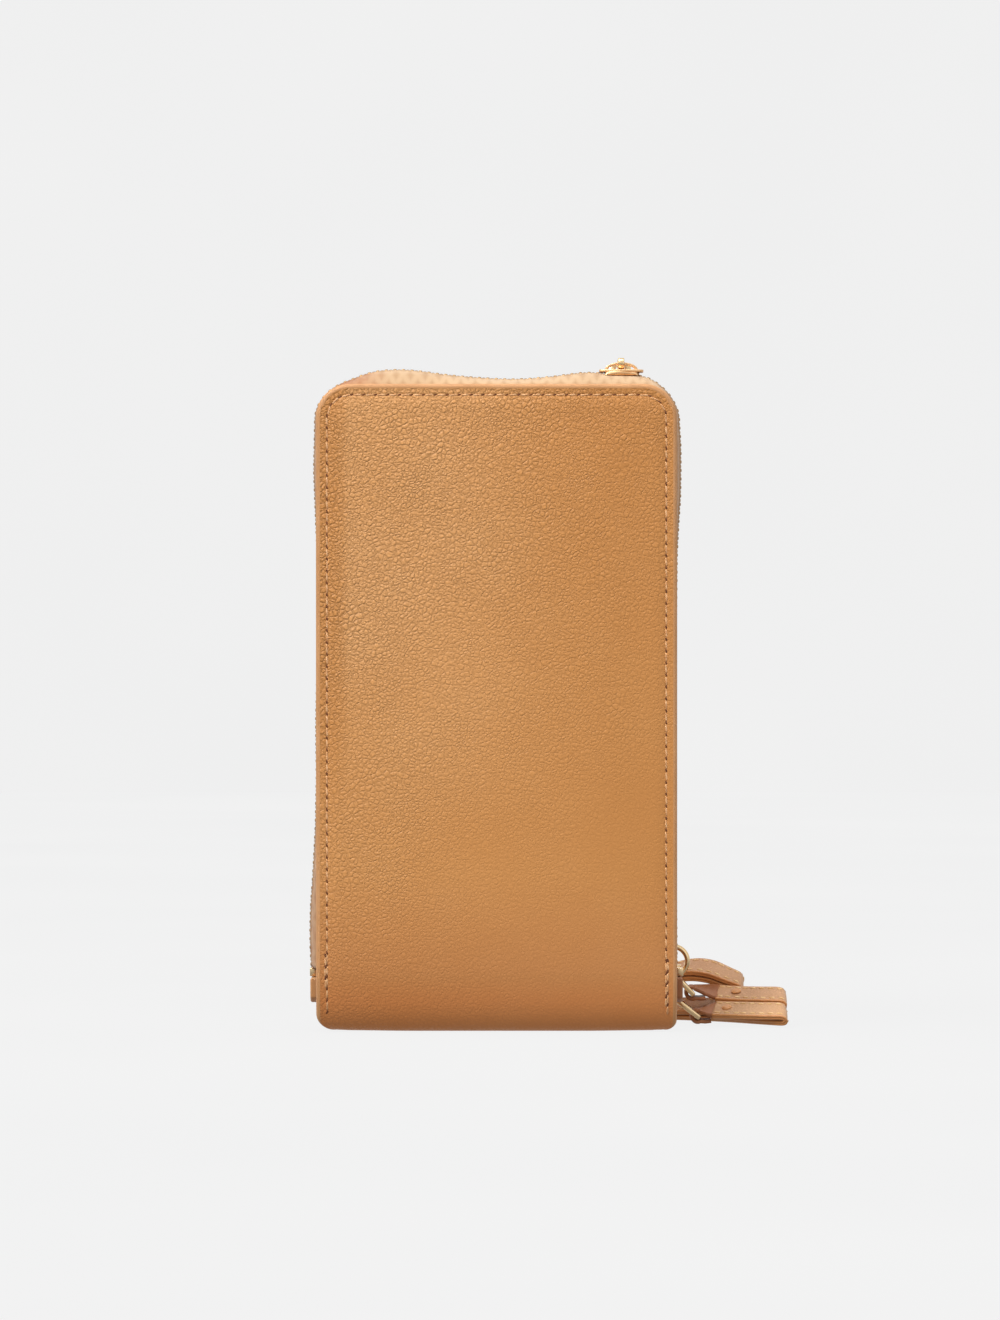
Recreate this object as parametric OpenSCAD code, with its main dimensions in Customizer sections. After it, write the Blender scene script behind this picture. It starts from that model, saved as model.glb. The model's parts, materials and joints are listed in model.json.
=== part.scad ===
// Zip-around wallet standing on its folded spine, with a detachable wrist strap.
// Units are millimetres. +Z is up, the spine rests on z = 0, the front cover faces -Y.

/* [Wallet] */
// Width across the leather covers
wallet_w = 106; // [100:1:112]
// Height of the leather covers above the table
wallet_h = 190; // [180:1:200]
// Depth over both covers when zipped
wallet_d = 27; // [27:1:30]
// Corner radius of the covers at the top
corner_r = 10; // [6:1:12]
// Thickness of the outer leather
leather_t = 1.2; // [1.0:0.1:1.2]
// Height at which the spine fold meets the flat covers
fold_h = 18; // [16:1:20]

/* [Zip] */
// Spacing of the teeth in one row
tooth_pitch = 2.5; // [2.2:0.1:3]
// How far the centre of the chain stands above the covers
chain_rise = 2.4; // [2:0.1:3]
// How far the centre of the chain stands out from the side edges
chain_out = 1; // [0.6:0.1:1.6]
// Slider centre, measured from the middle of the top edge
slider_x = 36.8; // [30:0.1:37]
// Length of the slider
slider_l = 13; // [11:0.5:13]
// Length of the pull tab
pull_l = 30; // [20:1:40]

/* [Interior] */
// Height of the top edge of the tallest card slot
slot_top = 172; // [150:1:178]
// Step between one card slot and the next
slot_step = 16; // [12:1:18]
// Top edge of the coin pocket
pocket_top = 160; // [140:1:165]
// Half the depth of the coin pocket
pocket_y = 3.4; // [3:0.1:3.6]

/* [Strap] */
// Width of the wrist strap
strap_w = 9.6; // [8:0.2:10]
// Thickness of the wrist strap
strap_t = 1.5; // [1.2:0.1:1.6]
// Wire diameter of the D-ring
ring_wire = 1.6; // [1.2:0.1:1.8]

/* [Hidden] */

hw = wallet_w / 2;
hd = wallet_d / 2;
chain_r = corner_r + 2;
ccx = hw + chain_out - chain_r;
ccz = wallet_h + chain_rise - chain_r;
chain_z = ccz + chain_r;
open_gap = 0.3;
cover_z0 = fold_h + open_gap;
zip_z0 = fold_h + 0.6;
y_in = hd - leather_t;
y_board = y_in - 1;
y_lining = y_board - 0.6;
flat = 5;
arc_y = hd - flat;

leather_c = "peru";
lining_c = "burlywood";
gold_c = "gold";

// ---------- helpers ----------
// Flat outline of a cover: bottom edge at zb, top edge at zt, half width w, top corners of radius r.
module cover2d(w, zb, zt, r) {
  translate([-w, zb]) square([2 * w, zt - r - zb]);
  translate([-w + r, zb]) square([2 * (w - r), zt - zb]);
  for (s = [-1, 1]) translate([s * (w - r), zt - r]) circle(r = r, $fn = 64);
}
// A cover outline given thickness from y0 to y1.
module slab(y0, y1, w, zb, zt, r) {
  translate([0, y1, 0]) rotate([90, 0, 0]) linear_extrude(y1 - y0) cover2d(w, zb, zt, r);
}
module block(p0, p1) { translate(p0) cube(p1 - p0); }

// Points of the spine fold from the front edge round to the back edge, at depth d inside the leather.
function fold_half(d, n = 14) = [for (i = [0:n]) let (t = 90 * i / n)
  [-(flat + (arc_y - d) * cos(t)), fold_h - (fold_h - d) * sin(t)]];
function flip(p) = [for (i = [len(p) - 1:-1:0]) [-p[i][0], p[i][1]]];
function fold(d) = concat(fold_half(d), flip(fold_half(d)));
function rev(p) = [for (i = [len(p) - 1:-1:0]) p[i]];
module fold_strip(d0, d1, w) {
  translate([-w, 0, 0]) rotate([90, 0, 90]) linear_extrude(2 * w)
    polygon(concat(fold(d0), rev(fold(d1))));
}

// Sweeps a profile (outward distance from the corner centre, distance in front of the chain)
// up the left side, over the top and down the right side.
module round_three_sides(p) {
  rotate([90, 0, 0]) {
    translate([-ccx, zip_z0, 0]) rotate([90, 0, 180]) linear_extrude(ccz - zip_z0) polygon(p);
    translate([-ccx, ccz, 0]) rotate([0, 0, 90]) rotate_extrude(angle = 90, $fn = 64) polygon(p);
    translate([-ccx, ccz, 0]) rotate([90, 0, 90]) linear_extrude(2 * ccx) polygon(p);
    translate([ccx, ccz, 0]) rotate_extrude(angle = 90, $fn = 64) polygon(p);
    translate([ccx, ccz, 0]) rotate([90, 0, 0]) linear_extrude(ccz - zip_z0) polygon(p);
  }
}
tape_p = [[chain_r - 0.3, 3.02], [chain_r + 0.3, 3.02], [chain_r + 0.3, 4.3], [chain_r - 2.4, y_in - 0.02],
  [4.5, y_in - 0.02], [4.5, y_in - 0.58], [chain_r - 2.8, y_in - 0.58], [chain_r - 0.3, 4.2]];

// Position and outward angle along the chain path, s measured from the left lower end.
side_l = ccz - zip_z0;
arc_l = chain_r * PI / 2;
chain_l = 2 * side_l + 2 * arc_l + 2 * ccx;
function chain_at(s) =
  s < side_l ? [-ccx - chain_r, zip_z0 + s, 180] :
  s < side_l + arc_l ? let (a = 180 - 90 * (s - side_l) / arc_l) [-ccx + chain_r * cos(a), ccz + chain_r * sin(a), a] :
  s < side_l + arc_l + 2 * ccx ? [-ccx + s - side_l - arc_l, ccz + chain_r, 90] :
  s < side_l + 2 * arc_l + 2 * ccx ? let (a = 90 - 90 * (s - side_l - arc_l - 2 * ccx) / arc_l) [ccx + chain_r * cos(a), ccz + chain_r * sin(a), a] :
  [ccx + chain_r, ccz - (s - side_l - 2 * arc_l - 2 * ccx), 0];
// A row of teeth. The rows keep a narrow lane free between them for the post inside the slider.
module teeth(start, y0) {
  for (s = [start:tooth_pitch:chain_l - 0.8]) {
    q = chain_at(s);
    translate([q[0], 0, q[1]]) rotate([0, -q[2], 0]) translate([-1.1, y0, -0.65]) cube([2.2, 2.65, 1.3]);
  }
}

// ---------- front cover ----------
module front_cover() { color(leather_c) slab(-hd, -y_in, hw, cover_z0, wallet_h, corner_r); }
module front_board() { color("tan") slab(-y_in, -y_board, hw - 6.6, cover_z0 + 1, wallet_h - 5.4, corner_r - 4); }
module front_lining() { color(lining_c) slab(-y_board, -y_lining, hw - 2.8, cover_z0 + 1, wallet_h - 1.5, corner_r - 2); }
module front_zip_tape() { color("navajowhite") round_three_sides(tape_p); }
module front_zip_teeth() { color(gold_c) teeth(0.9, -3); }
// Card slots overlap like steps: the slot nearest the lining is the tallest.
module card_slot(side, i, t = 0.6) {
  y0 = y_lining - i * t;
  zt = slot_top - i * slot_step;
  color(i % 2 == 0 ? "sandybrown" : lining_c)
    if (side < 0) slab(-y0, -y0 + t, hw - 5, fold_h + 6, zt, 2);
    else slab(y0 - t, y0, hw - 5, fold_h + 6, zt, 2);
}
module front_card_slot_1() { card_slot(-1, 0); }
module front_card_slot_2() { card_slot(-1, 1); }
module front_card_slot_3() { card_slot(-1, 2); }
module front_card_slot_4() { card_slot(-1, 3); }

// ---------- spine and back cover ----------
module spine() { color(leather_c) fold_strip(0, leather_t, hw); }
module spine_lining() { color(lining_c) fold_strip(leather_t, leather_t + 0.8, hw - 2.8); }
module back_cover() { color(leather_c) slab(y_in, hd, hw, fold_h, wallet_h, corner_r); }
module back_board() { color("tan") slab(y_board, y_in, hw - 6.6, fold_h + 1, wallet_h - 5.4, corner_r - 4); }
module back_lining() { color(lining_c) slab(y_lining, y_board, hw - 2.8, fold_h + 1, wallet_h - 1.5, corner_r - 2); }
module back_zip_tape() { color("navajowhite") mirror([0, 1, 0]) round_three_sides(tape_p); }
module back_zip_teeth() { color(gold_c) teeth(0.9 + tooth_pitch / 2, 0.35); }
module back_card_slot_1() { card_slot(1, 0); }
module back_card_slot_2() { card_slot(1, 1); }
module back_card_slot_3() { card_slot(1, 2); }
module back_slip_pocket() { card_slot(1, 3); }

// Metal stops over the last teeth, and the tabs that cover the tape ends inside the fold.
module zip_end_stops() {
  color(gold_c) for (s = [-1, 1]) block([s * (ccx + chain_r) - 1.1, -2.4, zip_z0 - 3], [s * (ccx + chain_r) + 1.1, 2.4, zip_z0 - 0.5]);
}
module end_tab(s) {
  x0 = s < 0 ? -hw - 1.8 : hw - 4;
  color(leather_c) difference() {
    translate([x0, 0, 0]) rotate([90, 0, 90]) linear_extrude(5.8)
      polygon([[-9, zip_z0 - 3.2], [9, zip_z0 - 3.2], [8, 9.6], [6, 8.2], [-6, 8.2], [-8, 9.6]]);
    block([s * (hw - 1.4) - 0.6, -7, 7], [s * (hw - 1.4) + 0.6, 7, 12]);
  }
}
module zip_end_tab_left() { end_tab(-1); }
module zip_end_tab_right() { end_tab(1); }

// ---------- coin pocket on the centre leaf ----------
pocket_w = hw - 7;
pocket_z0 = 6;
coin_z = pocket_top + 1.2;
module coin_pocket_front() { color(lining_c) block([-pocket_w, -pocket_y, pocket_z0], [pocket_w, -pocket_y + 0.6, pocket_top]); }
module coin_pocket_back() { color(lining_c) block([-pocket_w, pocket_y - 0.6, pocket_z0], [pocket_w, pocket_y, pocket_top]); }
module coin_pocket_edge() {
  y = pocket_y - 0.6;
  color("sandybrown") {
    block([-pocket_w, -y, pocket_z0], [pocket_w, y, pocket_z0 + 0.8]);
    for (s = [-1, 1]) block([s * (pocket_w - 0.4) - 0.4, -y, pocket_z0], [s * (pocket_w - 0.4) + 0.4, y, pocket_top]);
    block([-pocket_w, -y, 2.05], [-pocket_w + 6, y, pocket_z0]);
    block([pocket_w - 6, -y, 2.05], [pocket_w, y, pocket_z0]);
  }
}
module coin_tape(s) {
  color("navajowhite") union() {
    block([-pocket_w, min(s * pocket_y, s * 1.75), pocket_top], [pocket_w, max(s * pocket_y, s * 1.75), pocket_top + 0.5]);
    block([-pocket_w, min(s * 2.3, s * 1.75), pocket_top], [pocket_w, max(s * 2.3, s * 1.75), pocket_top + 1.5]);
  }
}
module coin_zip_tape_front() { coin_tape(-1); }
module coin_zip_tape_back() { coin_tape(1); }
module coin_zip_teeth() {
  color(gold_c) for (x = [-pocket_w + 2:2:pocket_w - 2]) {
    block([x - 0.5, -1.7, coin_z - 0.7], [x + 0.5, -0.35, coin_z + 0.7]);
    if (x < pocket_w - 3) block([x + 0.5, 0.35, coin_z - 0.7], [x + 1.5, 1.7, coin_z + 0.7]);
  }
}
coin_x = 30;
coin_bar_z = coin_z + 1 + 0.7 + 1.1;
module coin_zip_slider() {
  color(gold_c) translate([coin_x, 0, 0]) {
    block([-4.5, -1.6, coin_z - 1.7], [4.5, 1.6, coin_z - 1]);
    block([-4.5, -2.6, coin_z + 1], [4.5, 2.6, coin_z + 1.7]);
    block([1.5, -0.2, coin_z - 1.3], [4.3, 0.2, coin_z + 1.3]);
    arch(3.6, 2.7, 2.9, 1.95, 0.6, coin_z + 1.7);
  }
}
// Tab with a cross bar that turns under the slider's arch.
module coin_zip_pull() {
  color(gold_c) translate([coin_x, 0, coin_bar_z]) {
    translate([0, 1.9, 0]) rotate([90, 0, 0]) cylinder(r = 0.5, h = 3.8, $fn = 24);
    for (s = [-1, 1]) block([-5, s * 1.5 - 0.4, -0.4], [0, s * 1.5 + 0.4, 0.4]);
    block([-17, -1.9, -0.4], [-4.6, 1.9, 0.4]);
  }
}

// Elliptical arch over a slider: outer half length a and rise b, inner half length c and rise d, half width w.
module arch(a, b, c, d, w, z) {
  translate([0, w, z]) rotate([90, 0, 0]) linear_extrude(2 * w)
    polygon(concat([for (t = [0:9:180]) [a * cos(t), b * sin(t)]], [for (t = [180:-9:0]) [c * cos(t), d * sin(t)]]));
}

// ---------- pleated side gussets between front cover and centre leaf ----------
gusset_top = 96;
module gusset(s) {
  n = 6;
  y0 = -y_lining + 0.6 * 4 + 0.3;
  dy = (-pocket_y - 0.1 - y0) / n;
  a = [for (i = [0:n]) [hw - 11 + (i % 2 == 0 ? 0 : 4.6), y0 + i * dy]];
  b = [for (i = [n:-1:0]) [hw - 10.5 + (i % 2 == 0 ? 0 : 4.6), y0 + i * dy]];
  color("sandybrown") translate([0, 0, fold_h + 8]) linear_extrude(gusset_top - fold_h - 8)
    if (s > 0) polygon(concat(a, b)); else mirror([1, 0]) polygon(concat(a, b));
}
module gusset_left() { gusset(-1); }
module gusset_right() { gusset(1); }

// ---------- main slider and pull ----------
plate_t = 0.8;
plate_gap = 1.4;
top_z = chain_z + plate_gap + plate_t;
bar_z = top_z + 1.85;
module slider_plate(w0, w1) {
  l = slider_l / 2;
  linear_extrude(plate_t) polygon([[-l, -w0], [-l + 1.2, -w0 - 0.6], [l - 4, -w1], [l - 0.8, -w1 + 0.8], [l, -w1 + 2.2],
    [l, w1 - 2.2], [l - 0.8, w1 - 0.8], [l - 4, w1], [-l + 1.2, w0 + 0.6], [-l, w0]]);
}
module slider_body() {
  color(gold_c) translate([slider_x, 0, 0]) {
    translate([0, 0, chain_z - plate_gap - plate_t]) slider_plate(2.9, 4.1);
    translate([0, 0, chain_z + plate_gap]) slider_plate(3.1, 4.4);
    block([slider_l / 2 - 4.4, -0.25, chain_z - plate_gap - 0.4], [slider_l / 2 - 1.2, 0.25, chain_z + plate_gap + 0.4]);
    arch(4.9, 2.27, 4.0, 1.45, 0.6, top_z);
  }
}
ring_l = 15.6;
module link2d(l, r) {
  circle(r = r, $fn = 48);
  translate([l, 0]) circle(r = r, $fn = 48);
  translate([0, -r]) square([l, 2 * r]);
}
// Flat oval link that turns on the slider's arch and lies back over the rear cover.
module pull_ring() {
  color(gold_c) translate([slider_x - 0.9, 0, bar_z]) rotate([90, 0, 90]) linear_extrude(1.8)
    difference() { link2d(ring_l, 1.7); link2d(ring_l, 1.0); }
}
module pull_tab() {
  color(gold_c) translate([slider_x, ring_l + 0.5, bar_z]) rotate([90, 0, 0]) linear_extrude(1)
    difference() {
      union() {
        translate([-3.2, -pull_l + 3]) square([6.4, pull_l - 3 + 0.45]);
        translate([0, -pull_l + 3.2]) circle(r = 3.2, $fn = 48);
      }
      translate([-1.3, -3.4]) square([2.6, 2.95]);
    }
}

// ---------- ring for the strap ----------
ring_y = hd + 3.6;
ring_r = 4.4;
ring_z = 19;
ring_cx = hw - 0.5;
bar_x = hw - 5.5;
module d_ring() {
  r = ring_wire / 2;
  color(gold_c) translate([0, ring_y, ring_z]) {
    translate([bar_x, 0, -ring_r]) cylinder(r = r, h = 2 * ring_r, $fn = 32);
    for (s = [-1, 1]) {
      translate([bar_x, 0, s * ring_r]) sphere(r = r, $fn = 32);
      translate([bar_x, 0, s * ring_r]) rotate([0, 90, 0]) cylinder(r = r, h = ring_cx - bar_x, $fn = 32);
    }
    translate([ring_cx, 0, 0]) rotate([90, 0, 0]) rotate([0, 0, -90]) rotate_extrude(angle = 180, $fn = 64)
      translate([ring_r, 0]) circle(r = r, $fn = 32);
  }
}
// Leather tab folded round the straight bar of the ring and riveted to the back cover.
module ring_tab() {
  r = ring_wire / 2;
  color(leather_c) difference() {
    union() {
      block([bar_x - 15, hd, ring_z - 3.4], [bar_x, hd + 1.2, ring_z + 3.4]);
      block([bar_x - 15, hd + 1.2, ring_z - 3.4], [bar_x - 4, hd + 2.4, ring_z + 3.4]);
      translate([bar_x, ring_y, ring_z - 3.4]) cylinder(r = 2.4, h = 6.8, $fn = 48);
      block([bar_x - 5, hd + 1.2, ring_z - 3.4], [bar_x, ring_y + 2.4, ring_z + 3.4]);
    }
    translate([bar_x, ring_y, ring_z - 5]) cylinder(r = r + 0.08, h = 10, $fn = 48);
  }
}
module tab_rivet() {
  color(gold_c) translate([bar_x - 10, hd + 2.4, ring_z]) rotate([-90, 0, 0]) {
    cylinder(r = 2, h = 0.5, $fn = 48);
    translate([0, 0, 0.5]) cylinder(r1 = 2, r2 = 1.2, h = 0.5, $fn = 48);
  }
}

// ---------- swivel clasps: t runs from the ring along the clasp, n is across it ----------
swing_z = 14.9;
clasp_w = 1.6;
module in_clasp(x, tilt) { translate([x, ring_y, swing_z]) rotate([tilt, 0, 0]) rotate([90, 0, 90]) translate([0, 0, -clasp_w / 2]) children(); }
module hook(x, tilt, l) {
  color(gold_c) in_clasp(x, tilt) {
    linear_extrude(clasp_w) difference() {
      union() { circle(r = 3.2, $fn = 48); translate([0, -3.2]) square([4.6, 6.4]); translate([4.4, -1.4]) square([l - 4.4 - 0.9, 2.8]); }
      circle(r = 1.9, $fn = 48);
      translate([0, -1.9]) square([3.4, 3.8]);
      translate([0.9, 1]) square([4.2, 3]);
    }
  }
}
module lever(x, tilt) {
  color(gold_c) in_clasp(x, tilt) translate([0, 0, 0.2]) {
    linear_extrude(clasp_w - 0.4) union() {
      translate([1.3, 2.05]) square([2.9, 0.9]);
      translate([4.2, 2.5]) circle(r = 0.62, $fn = 32);
      translate([2.2, 2.8]) square([1.2, 1.1]);
    }
  }
}
upper_x = hw - 2.0;
lower_x = hw + 1.2;
upper_tilt = 0;
lower_tilt = -42;
upper_l = 12.4;
lower_l = 9.6;
module clasp_upper_hook() { hook(upper_x, upper_tilt, upper_l); }
module clasp_upper_lever() { lever(upper_x, upper_tilt); }
module clasp_lower_hook() { hook(lower_x, lower_tilt, lower_l); }
module clasp_lower_lever() { lever(lower_x, lower_tilt); }
// Rectangular strap loop lying from (x0, z0) down to (x1, z1), centred at y.
module strap_loop(x0, z0, x1, z1, y, w) {
  l = sqrt(pow(x1 - x0, 2) + pow(z1 - z0, 2));
  color(gold_c) translate([x0, y, z0]) rotate([0, atan2(z0 - z1, x1 - x0), 0]) translate([0, 0, -0.7])
    linear_extrude(1.4) difference() {
      translate([-0.7, -w / 2]) square([l + 1.4, w]);
      translate([0.7, -w / 2 + 1.4]) square([l - 1.4, w - 2.8]);
    }
}
upper_y = ring_y + upper_l + 0.1;
lower_y = ring_y + lower_l * cos(lower_tilt) + 0.1;
module clasp_upper_loop() { strap_loop(upper_x + clasp_w / 2 + 1.03, swing_z, hw + 5.6, 8.9, upper_y, 13); }
module clasp_lower_loop() { strap_loop(lower_x, swing_z + (lower_l + 0.2) * sin(lower_tilt) - 1.36, hw + 7, 2.5, lower_y - 2.5, 13); }
module strap_wrap(x, y, z) {
  color(leather_c) difference() {
    union() {
      translate([x, y + 4.6, z]) rotate([90, 0, 0]) cylinder(r = 2.2, h = 9.2, $fn = 48);
      block([x, y - 4.6, z - 1.2], [x + 3.2, y + 4.6, z + 1.2]);
    }
    translate([x, y + 6, z]) rotate([90, 0, 0]) cylinder(r = 1.12, h = 12, $fn = 48);
  }
}
module strap_end_upper() { strap_wrap(hw + 5.6, upper_y, 8.9); }
module strap_end_lower() { strap_wrap(hw + 7, lower_y - 2.5, 2.5); }

// ---------- wrist strap: a flat band folded into a hank beside and behind the wallet ----------
// The strap has its own frame: s along the runs, a across the band, b square to its face.
yaw = -20;
tilt = 22;
strap_o = [hw + 32, hd + 0.3, 2.55];
e_s = [cos(yaw), sin(yaw), 0];
e_a = [-sin(yaw) * cos(tilt), cos(yaw) * cos(tilt), sin(tilt)];
e_b = cross(e_s, e_a);
function strap_at(q) = strap_o + q[0] * e_s + q[1] * e_a + q[2] * e_b;
strap_path = [[-21, 0, 1.9], [-18, 0, 1.9], [-12, 0, 1.9], [-6, 0, 1.9], [0, 0, 1.9], [0.7, 0, 1.6], [0.95, 0, 0.95], [0.7, 0, 0.3], [0, 0.2, 0],
  [-4, 1.2, -0.4], [-8, 3, -1.1], [-16, 7.5, -2.9], [-24, 11.5, -4.6], [-34, 13.5, -5.4], [-44, 15, -6], [-54, 17, -6.8], [-64, 19, -7.6], [-70, 20, -8],
  [-71, 20, -7.6], [-71.3, 20, -6.9], [-71, 20.2, -6.2], [-70, 20.4, -5.8],
  [-62, 20.4, -4], [-54, 20.4, -1.5], [-44, 20.4, 2], [-34, 20.4, 4.3], [-27, 20.4, 3.8], [-20, 20.4, 2], [-14, 20.4, 0.3],
  [-13.2, 20.4, 0.6], [-12.9, 20.4, 1.25], [-13.2, 20.4, 1.9], [-14, 20.4, 2.3],
  [-20, 20.4, 4], [-27, 20.4, 5.8], [-34, 20.4, 6.3], [-44, 20, 4], [-54, 17, 1.6], [-61, 14, -0.2], [-65, 13, -1],
  [-65.8, 13, -1.4], [-66.1, 13, -2.1], [-65.8, 13, -2.8], [-65, 13, -3.2],
  [-54, 13, -3.2], [-44, 13, -3.3], [-34, 13, -3.3], [-24, 12, -2.6], [-16, 11, -1.2], [-8, 10.3, 0], [0, 10.1, 0.3],
  [1, 10.1, 0.6], [1.3, 10.1, 1.25], [1, 10.1, 1.9], [0, 10.1, 2.2], [-6, 10.1, 2.2], [-12, 10.1, 2.2], [-18, 10.1, 2.4], [-21.5, 10.1, 2.6]];
function unit(v) = v / norm(v);
function face_dir(i) = let (n = len(strap_path), d = strap_path[min(i + 1, n - 1)] - strap_path[max(i - 1, 0)])
  unit(-d[2] * e_s + d[0] * e_b);
// The right-hand folds are squared up to the wallet: the band slides along its runs there by its place across the hank.
function ease(s) = let (t = min(max((s + 34) / 28, 0), 1)) t * t * (3 - 2 * t);
function edge_at(q, da) = strap_at([q[0] - 0.337 * (q[1] + da) * ease(q[0]), q[1] + da, q[2]]);
module wrist_strap() {
  n = len(strap_path);
  pts = [for (i = [0:n - 1]) let (q = strap_path[i], f = face_dir(i) * strap_t / 2, w = strap_w / 2)
    each [edge_at(q, -w) - f, edge_at(q, w) - f, edge_at(q, w) + f, edge_at(q, -w) + f]];
  sides = [for (i = [0:n - 2]) for (k = [0:3]) let (a = 4 * i + k, b = 4 * i + (k + 1) % 4) each [[a, a + 4, b + 4], [a, b + 4, b]]];
  color(leather_c) polyhedron(points = pts, faces = concat([[0, 1, 2, 3]], sides, [[4 * n - 1, 4 * n - 2, 4 * n - 3, 4 * n - 4]]));
}
module on_strap(q) {
  p = strap_at(q);
  translate(p) rotate([0, 0, yaw]) rotate([tilt, 0, 0]) children();
}
module strap_rivets() {
  color(gold_c) for (q = [[-17, 0, 1.9 + strap_t / 2 + 0.02], [-17, 10.1, 2.45 + strap_t / 2 + 0.06]])
    on_strap(q) { cylinder(r = 1.5, h = 0.3, $fn = 32); translate([0, 0, 0.3]) cylinder(r1 = 1.5, r2 = 0.9, h = 0.4, $fn = 32); }
}

front_cover();
front_board();
front_lining();
front_zip_tape();
front_zip_teeth();
front_card_slot_1();
front_card_slot_2();
front_card_slot_3();
front_card_slot_4();
spine();
spine_lining();
back_cover();
back_board();
back_lining();
back_zip_tape();
back_zip_teeth();
back_card_slot_1();
back_card_slot_2();
back_card_slot_3();
back_slip_pocket();
zip_end_stops();
zip_end_tab_left();
zip_end_tab_right();
coin_pocket_front();
coin_pocket_back();
coin_pocket_edge();
coin_zip_tape_front();
coin_zip_tape_back();
coin_zip_teeth();
coin_zip_slider();
coin_zip_pull();
gusset_left();
gusset_right();
slider_body();
pull_ring();
pull_tab();
ring_tab();
tab_rivet();
d_ring();
clasp_upper_hook();
clasp_upper_lever();
clasp_upper_loop();
clasp_lower_hook();
clasp_lower_lever();
clasp_lower_loop();
strap_end_upper();
strap_end_lower();
wrist_strap();
strap_rivets();
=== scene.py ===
import json
import math

import bpy
import bmesh
import numpy as np
from mathutils import Matrix, Vector


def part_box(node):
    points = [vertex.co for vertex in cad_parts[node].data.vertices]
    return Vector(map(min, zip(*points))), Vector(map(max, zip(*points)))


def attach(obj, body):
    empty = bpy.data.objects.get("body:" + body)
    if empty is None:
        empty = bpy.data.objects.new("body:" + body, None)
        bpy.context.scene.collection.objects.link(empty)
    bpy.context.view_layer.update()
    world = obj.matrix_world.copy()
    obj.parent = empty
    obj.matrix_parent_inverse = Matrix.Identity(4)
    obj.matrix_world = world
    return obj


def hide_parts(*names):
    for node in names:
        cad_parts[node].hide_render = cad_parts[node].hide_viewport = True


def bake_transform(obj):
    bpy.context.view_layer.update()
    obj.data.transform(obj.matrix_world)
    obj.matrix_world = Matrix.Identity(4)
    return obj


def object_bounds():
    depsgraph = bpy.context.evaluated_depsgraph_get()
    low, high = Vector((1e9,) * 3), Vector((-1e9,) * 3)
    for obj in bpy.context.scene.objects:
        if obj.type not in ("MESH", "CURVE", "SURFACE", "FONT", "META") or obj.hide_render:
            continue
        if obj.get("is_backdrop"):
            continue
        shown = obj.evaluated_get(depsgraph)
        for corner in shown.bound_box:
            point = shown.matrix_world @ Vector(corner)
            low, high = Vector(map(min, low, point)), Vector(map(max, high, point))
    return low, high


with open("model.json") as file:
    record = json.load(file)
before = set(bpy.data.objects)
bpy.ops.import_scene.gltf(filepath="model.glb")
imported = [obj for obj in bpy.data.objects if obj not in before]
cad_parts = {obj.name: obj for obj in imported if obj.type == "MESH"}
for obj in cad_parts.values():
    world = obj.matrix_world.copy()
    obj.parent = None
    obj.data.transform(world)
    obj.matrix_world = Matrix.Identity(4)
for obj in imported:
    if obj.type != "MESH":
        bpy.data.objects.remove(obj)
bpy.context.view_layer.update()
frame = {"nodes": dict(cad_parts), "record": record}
MM = 0.001

# ------------------------------------------------------------------ camera, light, floor
scene = bpy.context.scene
RIGHT_X = 1.0
AIM = Vector((RIGHT_X, -13.5, 109.0)) * MM
DIST = 1.80
ELEV = math.radians(0.3)
cam_data = bpy.data.cameras.new("camera")
cam_data.sensor_fit = "VERTICAL"
cam_data.sensor_height = 36.0
cam_data.lens = 36.0 * DIST / 0.38702
cam_data.clip_start = 0.05
cam_data.clip_end = 20
cam_data.dof.use_dof = False
cam = bpy.data.objects.new("camera", cam_data)
scene.collection.objects.link(cam)
cam.location = AIM + DIST * Vector((0, -math.cos(ELEV), math.sin(ELEV)))
cam.rotation_euler = (AIM - cam.location).to_track_quat("-Z", "Y").to_euler()
scene.camera = cam


def area_light(name, loc, size, power, color=(1, 1, 1), target=(0, 0, 0.1), size_y=None):
    d = bpy.data.lights.new(name, "AREA")
    d.shape = "RECTANGLE"
    d.size = size
    d.size_y = size_y or size
    d.energy = power
    d.color = color
    o = bpy.data.objects.new(name, d)
    scene.collection.objects.link(o)
    o.location = loc
    o.rotation_euler = (Vector(target) - Vector(loc)).to_track_quat("-Z", "Y").to_euler()
    return o


area_light("key", (-0.95, -1.05, 1.45), 0.55, 24.5, (1.0, 0.985, 0.96))
area_light("fill", (1.0, -1.3, 0.65), 1.2, 2.2, (0.97, 0.985, 1.0))
area_light("top", (-0.1, -0.15, 1.4), 0.8, 7.0, (1, 1, 1))
scene.view_settings.view_transform = "Standard"
scene.view_settings.look = "None"
scene.view_settings.exposure = 0.0
scene.view_settings.gamma = 1.0
world = bpy.data.worlds.new("studio")
scene.world = world
world.use_nodes = True
wn = world.node_tree.nodes
wl = world.node_tree.links
wc = wn.new("ShaderNodeTexCoord")
wsep = wn.new("ShaderNodeSeparateXYZ")
wl.new(wc.outputs["Generated"], wsep.inputs[0])
wr = wn.new("ShaderNodeValToRGB")
wr.color_ramp.elements[0].position = 0.42
wr.color_ramp.elements[0].color = (0.44, 0.43, 0.42, 1)
wr.color_ramp.elements[1].position = 0.62
wr.color_ramp.elements[1].color = (1.0, 1.0, 1.0, 1)
wm = wn.new("ShaderNodeMapRange")
wm.inputs[1].default_value = -1.0
wm.inputs[2].default_value = 1.0
wl.new(wsep.outputs[2], wm.inputs[0])
wl.new(wm.outputs[0], wr.inputs[0])
wl.new(wr.outputs[0], wn["Background"].inputs[0])
wn["Background"].inputs[1].default_value = 0.78


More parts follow.
